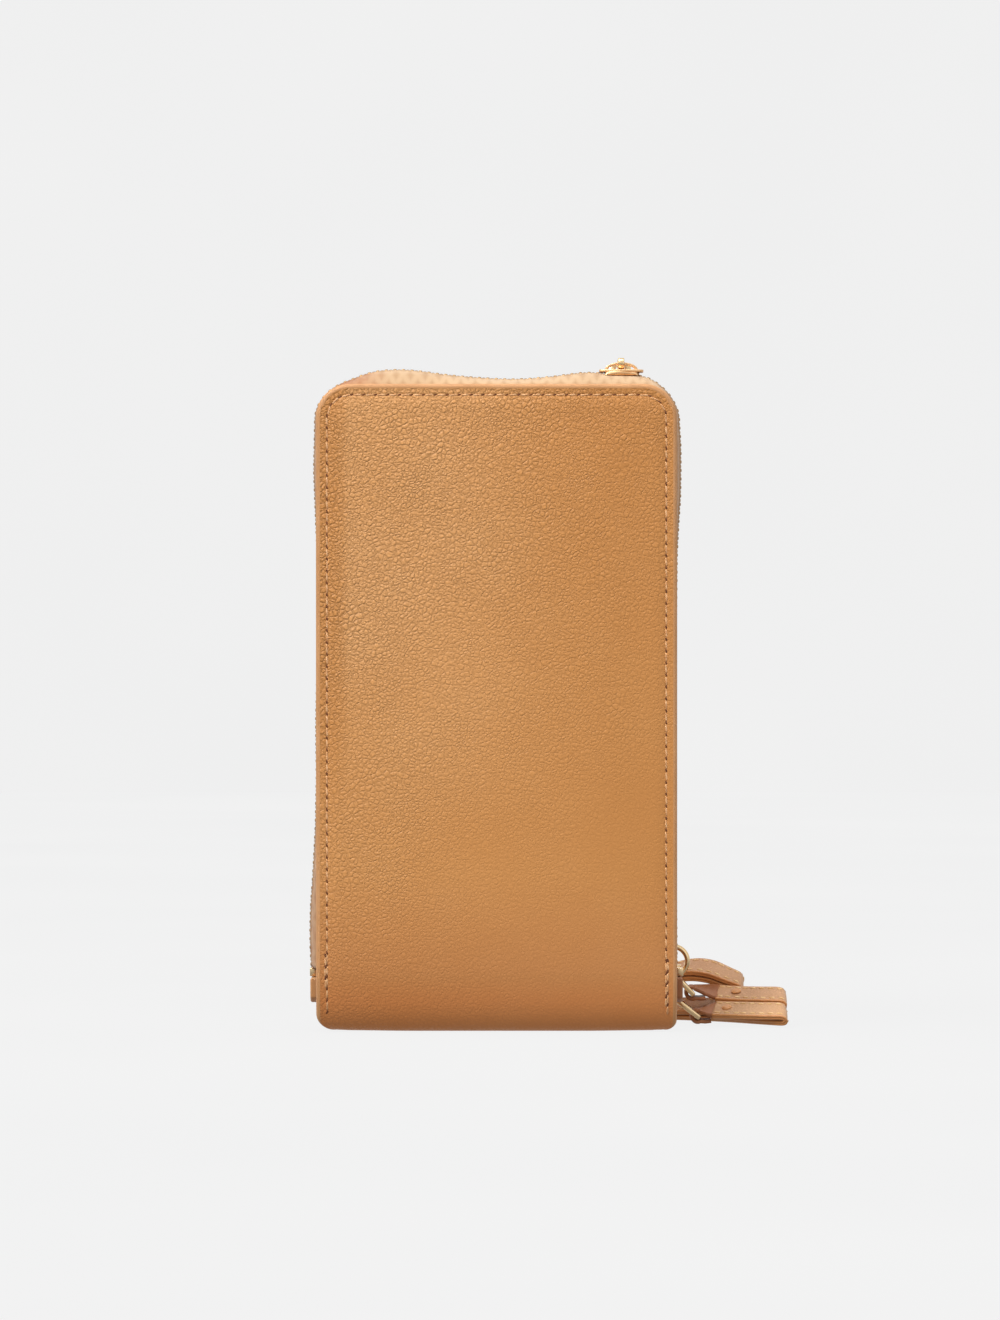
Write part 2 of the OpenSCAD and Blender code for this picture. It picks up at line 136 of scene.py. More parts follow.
# ------------------------------------------------------------------ materials
def srgb(r, g, b):
    f = lambda c: (c / 255 / 12.92) if c / 255 <= 0.04045 else ((c / 255 + 0.055) / 1.055) ** 2.4
    return (f(r), f(g), f(b), 1.0)


class M:
    """Small helper that builds one node material."""

    def __init__(self, name):
        self.m = bpy.data.materials.new(name)
        self.m.use_nodes = True
        self.nt = self.m.node_tree
        self.p = self.nt.nodes["Principled BSDF"]
        self.co = self.nt.nodes.new("ShaderNodeTexCoord")

    def n(self, kind, **kw):
        node = self.nt.nodes.new(kind)
        for k, v in kw.items():
            setattr(node, k, v)
        return node

    def link(self, a, b):
        self.nt.links.new(a, b)

    def val(self, node, **kw):
        for k, v in kw.items():
            node.inputs[k.replace("_", " ")].default_value = v
        return node

    def noise(self, scale, detail=3, rough=0.55, vec=None, dist=0.0):
        t = self.n("ShaderNodeTexNoise")
        t.inputs["Scale"].default_value = scale
        t.inputs["Detail"].default_value = detail
        t.inputs["Roughness"].default_value = rough
        t.inputs["Distortion"].default_value = dist
        self.link(vec or self.co.outputs["Object"], t.inputs["Vector"])
        return t.outputs["Fac"]

    def ramp(self, fac, stops):
        r = self.n("ShaderNodeValToRGB")
        e = r.color_ramp.elements
        while len(e) < len(stops):
            e.new(0.5)
        for i, (pos, col) in enumerate(stops):
            e[i].position = pos
            e[i].color = col if len(col) == 4 else (*col, 1)
        self.link(fac, r.inputs["Fac"])
        return r.outputs["Color"]

    def math(self, op, a, b=None, clamp=False):
        m = self.n("ShaderNodeMath", operation=op, use_clamp=clamp)
        for i, v in enumerate((a, b)):
            if v is None:
                continue
            if isinstance(v, (int, float)):
                m.inputs[i].default_value = v
            else:
                self.link(v, m.inputs[i])
        return m.outputs[0]

    def mix(self, fac, a, b, mode="MIX"):
        m = self.n("ShaderNodeMix", data_type="RGBA", blend_type=mode)
        for sock, v in ((m.inputs[0], fac), (m.inputs[6], a), (m.inputs[7], b)):
            if isinstance(v, (int, float, tuple)):
                sock.default_value = v
            else:
                self.link(v, sock)
        return m.outputs[2]

    def range(self, v, a, b, c, d):
        r = self.n("ShaderNodeMapRange")
        self.link(v, r.inputs[0])
        for i, x in enumerate((a, b, c, d)):
            r.inputs[i + 1].default_value = x
        return r.outputs[0]

    def bump(self, height, strength, distance, prev=None):
        b = self.n("ShaderNodeBump")
        b.inputs["Strength"].default_value = strength
        b.inputs["Distance"].default_value = distance
        self.link(height, b.inputs["Height"])
        if prev is not None:
            self.link(prev, b.inputs["Normal"])
        self.link(b.outputs[0], self.p.inputs["Normal"])
        return b.outputs[0]


def leather(name, base, dark, light, cell=2.1, pebble=0.55, rough=(0.44, 0.60), spec=0.42, strength=0.55, depth=0.00030, crease_shade_strength=0.42, fade_and_painted_light=True, mottle=24):
    """Pebbled leather: soft domed cells of two sizes with fine creases between them, faint mottling. The creases are
    painted darker as painted shade and the dome tops paler as painted highlight.
    The grain and its painted shade and highlight are crisper towards the upper left of the wallet, where the key light
    falls, and softer towards the lower right."""
    m = M(name)
    co = m.co.outputs["Object"]
    warp = m.n("ShaderNodeTexNoise")
    warp.inputs["Scale"].default_value = 420
    warp.inputs["Detail"].default_value = 2
    m.link(co, warp.inputs["Vector"])
    sub = m.n("ShaderNodeVectorMath", operation="SUBTRACT")
    m.link(warp.outputs["Color"], sub.inputs[0])
    sub.inputs[1].default_value = (0.5, 0.5, 0.5)
    scl = m.n("ShaderNodeVectorMath", operation="SCALE")
    m.link(sub.outputs[0], scl.inputs[0])
    scl.inputs["Scale"].default_value = 0.00075 * cell / 2.0
    add = m.n("ShaderNodeVectorMath", operation="ADD")
    m.link(co, add.inputs[0])
    m.link(scl.outputs[0], add.inputs[1])
    heights = []
    for size in (cell, cell * 0.74):
        v = m.n("ShaderNodeTexVoronoi", feature="DISTANCE_TO_EDGE")
        v.inputs["Scale"].default_value = 1000.0 / size
        v.inputs["Randomness"].default_value = 1.0
        m.link(add.outputs[0], v.inputs["Vector"])
        heights.append(m.range(v.outputs["Distance"], 0.0, 0.26, 0.0, 1.0))
    region = m.range(m.noise(60, 2), 0.30, 0.70, 0.15, 0.75)
    dome = m.mix(region, heights[0], heights[1])
    smooth_dome = m.math("POWER", dome, 0.75)
    fine = m.noise(1900, 3)
    if fade_and_painted_light:
        sep = m.n("ShaderNodeSeparateXYZ")
        m.link(co, sep.inputs[0])
        # the bump and the painted crease shade and highlight grow towards the upper left, where the key light falls
        g = m.math("SUBTRACT", m.math("MULTIPLY", sep.outputs[2], 0.75), m.math("MULTIPLY", sep.outputs[0], 1.0))
        g = m.math("ADD", g, m.math("MULTIPLY", m.math("SUBTRACT", m.noise(26, 2), 0.5), 0.10))
        amount = m.range(g, 0.0, 0.145, 0.20, 1.20)
        peb = m.math("MULTIPLY", smooth_dome, m.math("MULTIPLY", amount, pebble))
    else:
        amount = None
        peb = m.math("MULTIPLY", smooth_dome, pebble)
    h = m.math("ADD", peb, m.math("MULTIPLY", fine, 0.16))
    m.bump(h, strength, depth)
    mott = m.noise(mottle, 3)
    col = m.ramp(mott, [(0.28, dark), (0.52, base), (0.76, light)])
    if fade_and_painted_light:
        # painted light and shade: the hide is painted paler on the upper left, where the key light falls, and painted
        # redder and darker as painted shade on the right, along the left edge and towards the fold at the bottom
        def light_and_shade_tint(f):
            return m.ramp(mott, [(0.28, tuple(a * b for a, b in zip(dark, f))), (0.52, tuple(a * b for a, b in zip(base, f))), (0.76, tuple(a * b for a, b in zip(light, f)))])
        high = m.range(sep.outputs[2], 0.060, 0.112, 0.0, 1.0)
        inner = m.range(sep.outputs[0], -0.0475, -0.0435, 0.0, 1.0)
        left = m.range(sep.outputs[0], -0.020, 0.020, 1.0, 0.0)
        col = m.mix(m.math("MULTIPLY", m.math("MULTIPLY", high, inner), left), col, light_and_shade_tint((1.11, 1.20, 1.43, 1)))
        redder_shade = light_and_shade_tint((0.93, 0.885, 0.79, 1))
        col = m.mix(m.range(sep.outputs[0], -0.004, 0.034, 0.0, 1.0), col, redder_shade)
        col = m.mix(m.math("MULTIPLY", m.math("SUBTRACT", 1.0, inner), m.math("MULTIPLY", high, 0.9)), col, redder_shade)
        col = m.mix(m.range(sep.outputs[2], 0.018, 0.046, 1.0, 0.0), col, light_and_shade_tint((0.865, 0.785, 0.785, 1)))
        col = m.mix(m.range(sep.outputs[2], 0.009, 0.016, 1.0, 0.0), col, light_and_shade_tint((1.01, 0.83, 0.81, 1)))
    # painted shade: the creases between the domes are painted darker
    crease_shade = m.math("SUBTRACT", 1.0, smooth_dome, clamp=True)
    if amount is not None:
        crease_shade = m.math("MULTIPLY", crease_shade, amount)
    crease_shade = m.math("MULTIPLY", crease_shade, crease_shade_strength)
    col = m.mix(crease_shade, col, tuple(c * 0.55 for c in dark[:3]) + (1.0,))
    # painted highlight: the dome tops are painted paler
    peak_highlight = m.math("MULTIPLY", m.range(dome, 0.75, 1.0, 0.0, 1.0), 0.26)
    if amount is not None:
        peak_highlight = m.math("MULTIPLY", peak_highlight, amount)
    col = m.mix(peak_highlight, col, tuple(min(c * 1.22, 1) for c in light[:3]) + (1.0,))
    m.link(col, m.p.inputs["Base Color"])
    m.link(m.range(m.math("ADD", m.math("MULTIPLY", dome, 0.6), m.math("MULTIPLY", mott, 0.4)), 0.2, 0.9, rough[1], rough[0]), m.p.inputs["Roughness"])
    m.p.inputs["Specular IOR Level"].default_value = spec
    return m.m


def smooth_leather(name, base, dark, light, rough=0.5, spec=0.4):
    m = M(name)
    mott = m.noise(90, 4)
    m.link(m.ramp(mott, [(0.3, dark), (0.52, base), (0.75, light)]), m.p.inputs["Base Color"])
    fine = m.noise(1500, 4)
    vor = m.n("ShaderNodeTexVoronoi", feature="DISTANCE_TO_EDGE")
    vor.inputs["Scale"].default_value = 1300
    m.link(m.co.outputs["Object"], vor.inputs["Vector"])
    h = m.math("ADD", m.math("MULTIPLY", fine, 0.6), m.math("MULTIPLY", m.range(vor.outputs["Distance"], 0, 0.2, 0, 1), 0.4))
    m.bump(h, 0.35, 0.00010)
    m.link(m.range(fine, 0.3, 0.7, rough + 0.07, rough - 0.06), m.p.inputs["Roughness"])
    m.p.inputs["Specular IOR Level"].default_value = spec
    return m.m


def metal(name, base, worn, rough=0.22):
    m = M(name)
    sm = m.noise(700, 3)
    big = m.noise(120, 3)
    m.link(m.mix(m.range(big, 0.4, 0.7, 0.0, 0.6), base, worn), m.p.inputs["Base Color"])
    m.link(m.range(sm, 0.3, 0.7, rough - 0.05, rough + 0.10), m.p.inputs["Roughness"])
    m.bump(sm, 0.08, 0.00003)
    m.p.inputs["Metallic"].default_value = 1.0
    return m.m


def woven(name, base, dark, pitch=0.45, use_uv=False, rough=0.8, sheen=0.12, herring=False, corner=False):
    """Twill or herringbone weave. Threads are waves across two directions of one coordinate."""
    m = M(name)
    co = m.co.outputs["UV" if use_uv else "Object"]
    ws = []
    for ang in (35, -35):
        mp = m.n("ShaderNodeMapping")
        if use_uv:
            mp.inputs["Rotation"].default_value = (0, 0, math.radians(ang))
        else:
            mp.inputs["Rotation"].default_value = (0, math.radians(ang), 0)
        m.link(co, mp.inputs["Vector"])
        w = m.n("ShaderNodeTexWave", bands_direction="X")
        w.inputs["Scale"].default_value = 1000.0 / pitch / 20.0
        w.inputs["Distortion"].default_value = 0.6
        w.inputs["Detail"].default_value = 1
        w.inputs["Detail Scale"].default_value = 2
        m.link(mp.outputs[0], w.inputs["Vector"])
        ws.append(w.outputs["Fac"])
    weave = m.math("MAXIMUM", ws[0], ws[1]) if herring else m.math("MULTIPLY", ws[0], ws[1])
    fuzz = m.noise(3500, 2)
    h = m.math("ADD", weave, m.math("MULTIPLY", fuzz, 0.4))
    m.bump(h, 0.4, 0.00012)
    mott = m.noise(60, 3)
    col = m.mix(m.range(weave, 0.1, 0.9, 0.55, 0.0), base, dark)
    col = m.mix(m.range(mott, 0.35, 0.7, 0.0, 0.16), col, tuple(c * 0.75 for c in dark[:3]) + (1.0,))
    # painted shade: the tape is painted deep reddish brown at the upper left corner and darker along the right side
    if corner:
        sep = m.n("ShaderNodeSeparateXYZ")
        m.link(m.co.outputs["Object"], sep.inputs[0])
        left = m.range(sep.outputs[0], -0.044, -0.031, 1.0, 0.0)
        side = m.range(sep.outputs[2], 0.178, 0.187, 0.55, 1.0)
        corner_shade = m.math("MULTIPLY", m.math("MULTIPLY", left, side), m.range(m.noise(300, 3), 0.3, 0.7, 0.45, 0.95))
        col = m.mix(corner_shade, col, srgb(158, 92, 52))
        right = m.math("MULTIPLY", m.range(sep.outputs[0], 0.046, 0.052, 0.0, 1.0), 0.45)
        col = m.mix(right, col, srgb(176, 120, 76))
    m.link(col, m.p.inputs["Base Color"])
    m.link(m.range(fuzz, 0.3, 0.7, rough - 0.08, rough + 0.08), m.p.inputs["Roughness"])
    m.p.inputs["Sheen Weight"].default_value = sheen
    m.p.inputs["Sheen Roughness"].default_value = 0.5
    m.p.inputs["Specular IOR Level"].default_value = 0.2
    return m.m


def thread_mat(name, a, b):
    m = M(name)
    w = m.n("ShaderNodeTexWave", bands_direction="DIAGONAL")
    w.inputs["Scale"].default_value = 260
    w.inputs["Distortion"].default_value = 1.0
    m.link(m.co.outputs["Object"], w.inputs["Vector"])
    m.link(m.mix(w.outputs["Fac"], a, b), m.p.inputs["Base Color"])
    m.bump(w.outputs["Fac"], 0.5, 0.00006)
    m.p.inputs["Sheen Weight"].default_value = 0.15
    m.link(m.range(m.noise(900, 2), 0.3, 0.7, 0.55, 0.75), m.p.inputs["Roughness"])
    return m.m


camel = leather("camel_leather", srgb(208, 145, 81), srgb(205, 141, 76), srgb(211, 150, 87), cell=1.45, pebble=0.8, strength=0.9, crease_shade_strength=0.40, depth=0.00035)
edge_leather = smooth_leather("turned_edge", srgb(198, 144, 95), srgb(190, 136, 86), srgb(204, 151, 102))
strap_leather = leather("strap_leather", srgb(207, 160, 116), srgb(198, 149, 104), srgb(213, 168, 125), cell=1.0, pebble=0.5, strength=0.6, rough=(0.42, 0.56), depth=0.00016, crease_shade_strength=0.3, fade_and_painted_light=False, mottle=70)
# painted shade: a slightly darker copy of the strap leather for the band's underside
strap_under_shaded = leather("strap_leather_under_painted_shade", srgb(203, 154, 112), srgb(193, 143, 100), srgb(210, 163, 121), cell=1.0, pebble=0.5, strength=0.6, rough=(0.42, 0.56), depth=0.00016, crease_shade_strength=0.3, fade_and_painted_light=False, mottle=70)
strap_paint = smooth_leather("edge_paint", srgb(206, 142, 84), srgb(193, 126, 70), srgb(214, 152, 96), rough=0.36, spec=0.5)
slot_leather = leather("slot_leather", srgb(203, 150, 100), srgb(193, 138, 88), srgb(211, 160, 111), cell=1.0, pebble=0.4, strength=0.5, depth=0.00015, crease_shade_strength=0.25, fade_and_painted_light=False)
lining = woven("lining_twill", srgb(198, 160, 118), srgb(168, 130, 92), pitch=0.5)
tape_mat = woven("zip_tape_weave", srgb(202, 170, 134), srgb(168, 128, 90), pitch=0.55, herring=True, corner=True)
gold = metal("pale_gold", srgb(238, 208, 162), srgb(224, 186, 134), 0.24)
gold_satin = metal("gold_satin", srgb(238, 196, 148), srgb(222, 172, 118), rough=0.40)
gold_teeth = metal("gold_teeth", srgb(186, 148, 98), srgb(140, 102, 62), 0.32)
thread = thread_mat("seam_thread", srgb(228, 178, 128), srgb(206, 150, 98))
strap_thread = thread_mat("strap_thread", srgb(246, 212, 156), srgb(226, 182, 122))
# painted shade: a darker brown copy of the leather for the strap ends and the right zip-end tab, which sit in shade
# beside the wallet
shaded_wrap_leather = smooth_leather("strap_end_leather_painted_shade", srgb(160, 102, 64), srgb(142, 86, 50), srgb(176, 116, 76), rough=0.48)
board_mat = smooth_leather("board", srgb(178, 160, 132), srgb(165, 146, 118), srgb(188, 171, 146), rough=0.8, spec=0.2)


# painted shade: dark brown marks that stand in for the shade inside the needle holes
def needle_hole_shade_material():
    m = M("needle_hole_painted_shade")
    n = m.noise(2000, 2)
    m.link(m.ramp(n, [(0.3, srgb(96, 52, 26)), (0.7, srgb(122, 70, 38))]), m.p.inputs["Base Color"])
    m.p.inputs["Roughness"].default_value = 0.85
    return m.m


needle_hole_shade_mat = needle_hole_shade_material()


# ------------------------------------------------------------------ mesh helpers
def make(name, verts, faces, mats, smooth=True, mat_index=None, uvs=None):
    me = bpy.data.meshes.new(name)
    me.from_pydata([tuple(np.array(v) * MM) for v in verts], [], [tuple(f) for f in faces])
    me.validate()
    o = bpy.data.objects.new(name, me)
    scene.collection.objects.link(o)
    for m in mats if isinstance(mats, (list, tuple)) else [mats]:
        me.materials.append(m)
    if mat_index is not None:
        me.polygons.foreach_set("material_index", np.array(mat_index, dtype=np.int32))
    if smooth:
        me.polygons.foreach_set("use_smooth", [True] * len(me.polygons))
    bm = bmesh.new()
    bm.from_mesh(me)
    bmesh.ops.recalc_face_normals(bm, faces=bm.faces)
    bm.to_mesh(me)
    bm.free()
    return o


def copy_node(node, name, mat, bevel=0.0, segs=2, angle=35, smooth=True):
    """A CAD piece's shape as a new mesh with rounded edges."""
    src = frame["nodes"][node]
    me = src.data.copy()
    me.name = name
    o = bpy.data.objects.new(name, me)
    scene.collection.objects.link(o)
    bm = bmesh.new()
    bm.from_mesh(me)
    bmesh.ops.remove_doubles(bm, verts=bm.verts, dist=1e-6)
    bmesh.ops.dissolve_limit(bm, angle_limit=math.radians(1.0), verts=bm.verts, edges=bm.edges)
    bm.to_mesh(me)
    bm.free()
    me.materials.clear()
    me.materials.append(mat)
    me.polygons.foreach_set("material_index", [0] * len(me.polygons))
    if bevel > 0:
        b = o.modifiers.new("bevel", "BEVEL")
        b.width = bevel * MM
        b.segments = segs
        b.limit_method = "ANGLE"
        b.angle_limit = math.radians(angle)
        b.harden_normals = False
        bpy.context.view_layer.objects.active = o
        o.select_set(True)
        bpy.ops.object.modifier_apply(modifier="bevel")
        o.select_set(False)
    if smooth:
        bm = bmesh.new()
        bm.from_mesh(o.data)
        for f in bm.faces:
            f.smooth = True
        for e in bm.edges:
            if len(e.link_faces) == 2 and e.calc_face_angle(0) > math.radians(40):
                e.smooth = False
        bm.to_mesh(o.data)
        bm.free()
    return o


def unit(v):
    v = np.asarray(v, float)
    return v / max(np.linalg.norm(v), 1e-12)


def capsule(center, direction, up, length, w, h, seg=8, rings=5):
    """Verts and faces of a small rounded thread stitch."""
    d = unit(direction)
    n = unit(np.array(up) - np.dot(up, d) * d)
    s = np.cross(d, n)
    vs, fs = [], []
    for i in range(rings + 2):
        t = -1 + 2 * i / (rings + 1)
        r = max(1 - abs(t) ** 3.2, 0.02) ** 0.5
        c = np.array(center) + d * t * length / 2
        for k in range(seg):
            a = 2 * math.pi * k / seg
            vs.append(c + r * (math.cos(a) * w / 2 * s + math.sin(a) * h / 2 * n))
    for i in range(rings + 1):
        for k in range(seg):
            a, b = i * seg + k, i * seg + (k + 1) % seg
            fs.append((a, b, b + seg, a + seg))
    fs.append(tuple(range(seg))[::-1])
    fs.append(tuple((rings + 1) * seg + k for k in range(seg)))
    return vs, fs


class Group:
    """Collects many small solids into one mesh."""

    def __init__(self):
        self.v, self.f = [], []

    def add(self, vs, fs):
        o = len(self.v)
        self.v.extend(vs)
        self.f.extend([tuple(i + o for i in f) for f in fs])

    def done(self, name, mat, smooth=True):
        return make(name, self.v, self.f, mat, smooth)


# ------------------------------------------------------------------ sizes shared with the CAD model
HW, HD, H = 53.0, 13.5, 190.0
RC = 10.0
CX, CZ = HW - RC, H - RC
FOLD = 18.0
FLAT, ARC = 5.0, 8.5
THICK = 2.3


def rim(d, r=1.15):
    d = np.clip(d, 0, r)
    return r - np.sqrt(np.maximum(r * r - (r - d) ** 2, 0))


def smoothstep(a, b, x):
    t = np.clip((x - a) / (b - a), 0, 1)
    return t * t * (3 - 2 * t)


# ------------------------------------------------------------------ the leather covers
def cover_rows():
    """Rows from the top edge down the face, round the fold, to the middle of the underside.
    Each row: (y, z) on the outer face, outward normal (ny, nz), half width, apparent z."""
    rows = []
    for phi in np.concatenate([np.linspace(90, 30, 25), np.linspace(26, 0, 6)]):
        a = math.radians(phi)
        rows.append((-HD, CZ + RC * math.sin(a), -1.0, 0.0, CX + RC * math.cos(a)))
    for z in np.linspace(CZ, FOLD, 72)[1:]:
        rows.append((-HD, z, -1.0, 0.0, HW))
    for t in np.linspace(0, 90, 22)[1:]:
        a = math.radians(t)
        y, z = -(FLAT + ARC * math.cos(a)), FOLD - FOLD * math.sin(a)
        n = unit([-(math.cos(a)) / ARC, -(math.sin(a)) / FOLD])
        rows.append((y, z, n[0], n[1], HW))
    for y in (-3.6, -2.2, -1.0, 0.0):
        rows.append((y, 0.0, 0.0, -1.0, HW))
    return rows


def corner_cut(z, left):
    """How far the lower corner of a cover is rounded in, by height."""
    r = 4.4 if left else 2.4
    z = max(z, 0.0)
    return r - math.sqrt(max(r * r - max(r - z, 0) ** 2, 0)) if z < r else 0.0


OFFS = [0, 0.06, 0.18, 0.36, 0.6, 0.9, 1.2, 1.6, 2.0, 2.4, 2.75, 3.0, 3.2, 3.4, 3.65, 4.0, 4.6, 5.4, 6.4, 7.8, 9.6, 12, 15, 19, 24, 30, 36]


def cover_depth(x, z, xm, row_z, crown):
    """How far a point sits inside the flat face: rounded rim, dip at the seam, puffed middle."""
    ax = abs(x)
    if row_z > CZ:
        d = RC - math.hypot(ax - CX, row_z - CZ) if ax > CX else H - row_z
        d = min(d, RC - math.hypot(max(ax - CX, 0), row_z - CZ))
    else:
        d = min(xm - ax, H - row_z)
    d = max(d, 0.0)
    side = xm - ax if row_z <= CZ else d
    h = float(rim(d))
    low = smoothstep(2, 12, row_z)
    top = 1.0
    h += 0.26 * math.exp(-(((d - 3.25) / 0.5) ** 2)) * low * top
    h += 0.10 * math.exp(-(((d - 1.9) / 0.6) ** 2))
    h -= crown * (0.35 * smoothstep(3.4, 6.5, d) + 0.65 * smoothstep(4.0, 26.0, d)) * (0.35 + 0.65 * smoothstep(0, 30, row_z))
    return d, h


def cover(name, side, crown):
    """side -1 for the front cover, +1 for the back cover."""
    rows = cover_rows()
    verts, faces, mi = [], [], []
    ncol = 2 * len(OFFS) + 1
    outer, inner = [], []
    for (y, z, ny, nz, xm) in rows:
        xs = [-(xm - min(o, xm * 0.93 * (i / len(OFFS)) if o > xm else o)) for i, o in enumerate(OFFS)]
        if xm < 52:
            offs = np.array(OFFS) * min(1.0, (xm - 2) / 36.0)
            xs = [-(xm - o) for o in offs]
        xs = xs + [0.0] + [-v for v in xs[::-1]]
        lc, rc = corner_cut(z, True), corner_cut(z, False)
        xs = [v * (1 - (lc if v < 0 else rc) / xm) for v in xs]
        ro, ri = [], []
        for x in xs:
            d, h = cover_depth(x / (1 - (lc if x < 0 else rc) / xm), z, xm, z, crown)
            py, pz = y - ny * h, z - nz * h
            ro.append(len(verts))
            verts.append((x, -side * py, pz))
            hi = THICK - float(rim(d))
            if d <= 1e-6:
                ri.append(ro[-1])
            else:
                ri.append(len(verts))
                verts.append((x, -side * (y - ny * hi), z - nz * hi))
        outer.append(ro)
        inner.append(ri)
    for r in range(len(rows) - 1):
        for c in range(ncol - 1):
            q = [outer[r][c], outer[r][c + 1], outer[r + 1][c + 1], outer[r + 1][c]]
            faces.append(q)
            mi.append(0)
            q2 = [inner[r][c], inner[r + 1][c], inner[r + 1][c + 1], inner[r][c + 1]]
            if len(set(q2)) >= 3 and not (set(q2) <= set(q)):
                faces.append(q2)
                mi.append(1)
    r = len(rows) - 1
    for c in range(ncol - 1):
        q = [outer[r][c], outer[r][c + 1], inner[r][c + 1], inner[r][c]]
        q = list(dict.fromkeys(q))
        if len(q) >= 3:
            faces.append(q)
            mi.append(0)
    clean, cm = [], []
    for f, m in zip(faces, mi):
        g = list(dict.fromkeys(f))
        if len(g) >= 3:
            clean.append(g)
            cm.append(m)
    o = make(name, verts, clean, [camel, edge_leather])
    # the turned rim outside the seam is a smoother, paler strip
    me = o.data
    idx = np.zeros(len(me.polygons), dtype=np.int32)
    for p in me.polygons:
        c = np.array(p.center) / MM
        zz, ax = c[2], abs(c[0])
        if zz > CZ:
            d = RC - math.hypot(max(ax - CX, 0), zz - CZ)
        else:
            d = HW - ax
        deep = abs(c[1]) < HD - 1.6 and zz > FOLD + 1
        idx[p.index] = 1 if (deep or (d < 1.3)) else 0
    me.polygons.foreach_set("material_index", idx)
    return o


front_skin = cover("front_cover_leather", -1, 0.9)
back_skin = cover("back_cover_leather", 1, 0.9)
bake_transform(front_skin)
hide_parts("front_cover")
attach(back_skin, "back_leaf")
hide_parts("back_cover", "spine")


# ------------------------------------------------------------------ seams
def outline(s_in, z0):
    """Points along the left, top and right edges, inset by s_in, as a dense polyline with outward directions."""
    r = RC - s_in
    pts = []
    for z in np.arange(z0, CZ, 0.25):
        pts.append((-(HW - s_in), z, -1, 0))
    for a in np.linspace(180, 90, 80):
        t = math.radians(a)
        pts.append((-CX + r * math.cos(t), CZ + r * math.sin(t), math.cos(t), math.sin(t)))
    for x in np.arange(-CX, CX, 0.25):
        pts.append((x, H - s_in, 0, 1))
    for a in np.linspace(90, 0, 80):
        t = math.radians(a)
        pts.append((CX + r * math.cos(t), CZ + r * math.sin(t), math.cos(t), math.sin(t)))
    for z in np.arange(CZ, z0, -0.25):
        pts.append((HW - s_in, z, 1, 0))
    p = np.array(pts)
    keep = [0]
    for i in range(1, len(p)):
        if np.hypot(*(p[i, :2] - p[keep[-1], :2])) > 1e-4:
            keep.append(i)
    return p[keep]


def resample(p, step, start=0.0):
    seg = np.hypot(np.diff(p[:, 0]), np.diff(p[:, 1]))
    s = np.concatenate([[0], np.cumsum(seg)])
    t = np.arange(start, s[-1], step)
    return t, np.array([[np.interp(v, s, p[:, k]) for k in range(p.shape[1])] for v in t]), s[-1]


def face_y(x, z, crown):
    """Depth of the outer face at x, z on the flat part of a cover (front side, negative y)."""
    if z >= FOLD:
        y, nz_, ny_ = -HD, 0.0, -1.0
    else:
        q = min(max((FOLD - z) / FOLD, 0), 1)
        a = math.asin(q)
        y = -(FLAT + ARC * math.cos(a))
        ny_, nz_ = unit([-(math.cos(a)) / ARC, -(math.sin(a)) / FOLD])
    _, h = cover_depth(x, z, HW, z, crown)
    return y - ny_ * h, -nz_ * h, ny_, nz_


def seam(name, side, crown, z0, pitch=3.5):
    st, ho = Group(), Group()
    p = outline(3.25, z0)
    t, q, total = resample(p, pitch, 0.6)
    rng = np.random.default_rng(11 if side < 0 else 12)

    def put(x, z, tx, tz, length, jx=0.0, jz=0.0):
        y, dz, ny, nz = face_y(x, z, crown)
        tilt = 0.10
        d = np.array([tx + tilt * -tz, 0, tz + tilt * tx])
        if z < FOLD:
            d = np.array([0.0, -nz * np.sign(tz), ny * -np.sign(tz) * -1.0])
            d = np.array([0, nz, -ny]) if tz > 0 else np.array([0, -nz, ny])
        c = np.array([x + jx, y + ny * 0.02, z + dz + jz])
        d[1] *= 1
        up = np.array([0, ny, nz])
        vs, fs = capsule(c, d, up, length, 0.62, 0.46)
        if side > 0:
            vs = [np.array([v[0], -v[1], v[2]]) for v in vs]
        st.add(vs, fs)

    # painted shade: a small dark mark at each needle hole
    def hole(x, z, tx=0.0, tz=1.0):
        y, dz, ny, nz = face_y(x, z, crown)
        c = np.array([x, y - ny * 0.02, z + dz])
        d = np.array([tx + 0.5 * -tz, 0, tz + 0.5 * tx]) if z >= FOLD else np.array([0.3, nz, -ny])
        vs, fs = capsule(c, d, np.array([0, ny, nz]), 1.35, 0.62, 0.34, seg=8, rings=3)
        if side > 0:
            vs = [np.array([v[0], -v[1], v[2]]) for v in vs]
        ho.add(vs, fs)

    for i in range(len(q) - 1):
        a, b = q[i], q[i + 1]
        mid = (a[:2] + b[:2]) / 2
        tx, tz = unit(b[:2] - a[:2])
        put(mid[0], mid[1], tx, tz, np.hypot(*(b[:2] - a[:2])) * 0.74 + rng.normal(0, 0.05), rng.normal(0, 0.03), rng.normal(0, 0.03))
        hole(a[0], a[1], tx, tz)
    # doubled back stitches near the lower ends of both sides
    for sx, lo, hi in ((-1, 14, 23), (1, 6, 20)):
        z = lo
        while z < hi:
            put(sx * (HW - 3.25) + sx * 0.45, z, 0, 1, 2.5, rng.normal(0, 0.05), 0)
            hole(sx * (HW - 3.25) + sx * 0.45, z + 1.75)
            z += 3.3
    s = st.done(name, thread)
    h = ho.done(name + "_holes", needle_hole_shade_mat)
    return s, h


for side, nm in ((-1, "front"), (1, "back")):
    s, h = seam(nm + "_seam_thread", side, 0.9, 5.0)
    for o in (s, h):
        if side < 0:
            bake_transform(o)
        else:
            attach(o, "back_leaf")

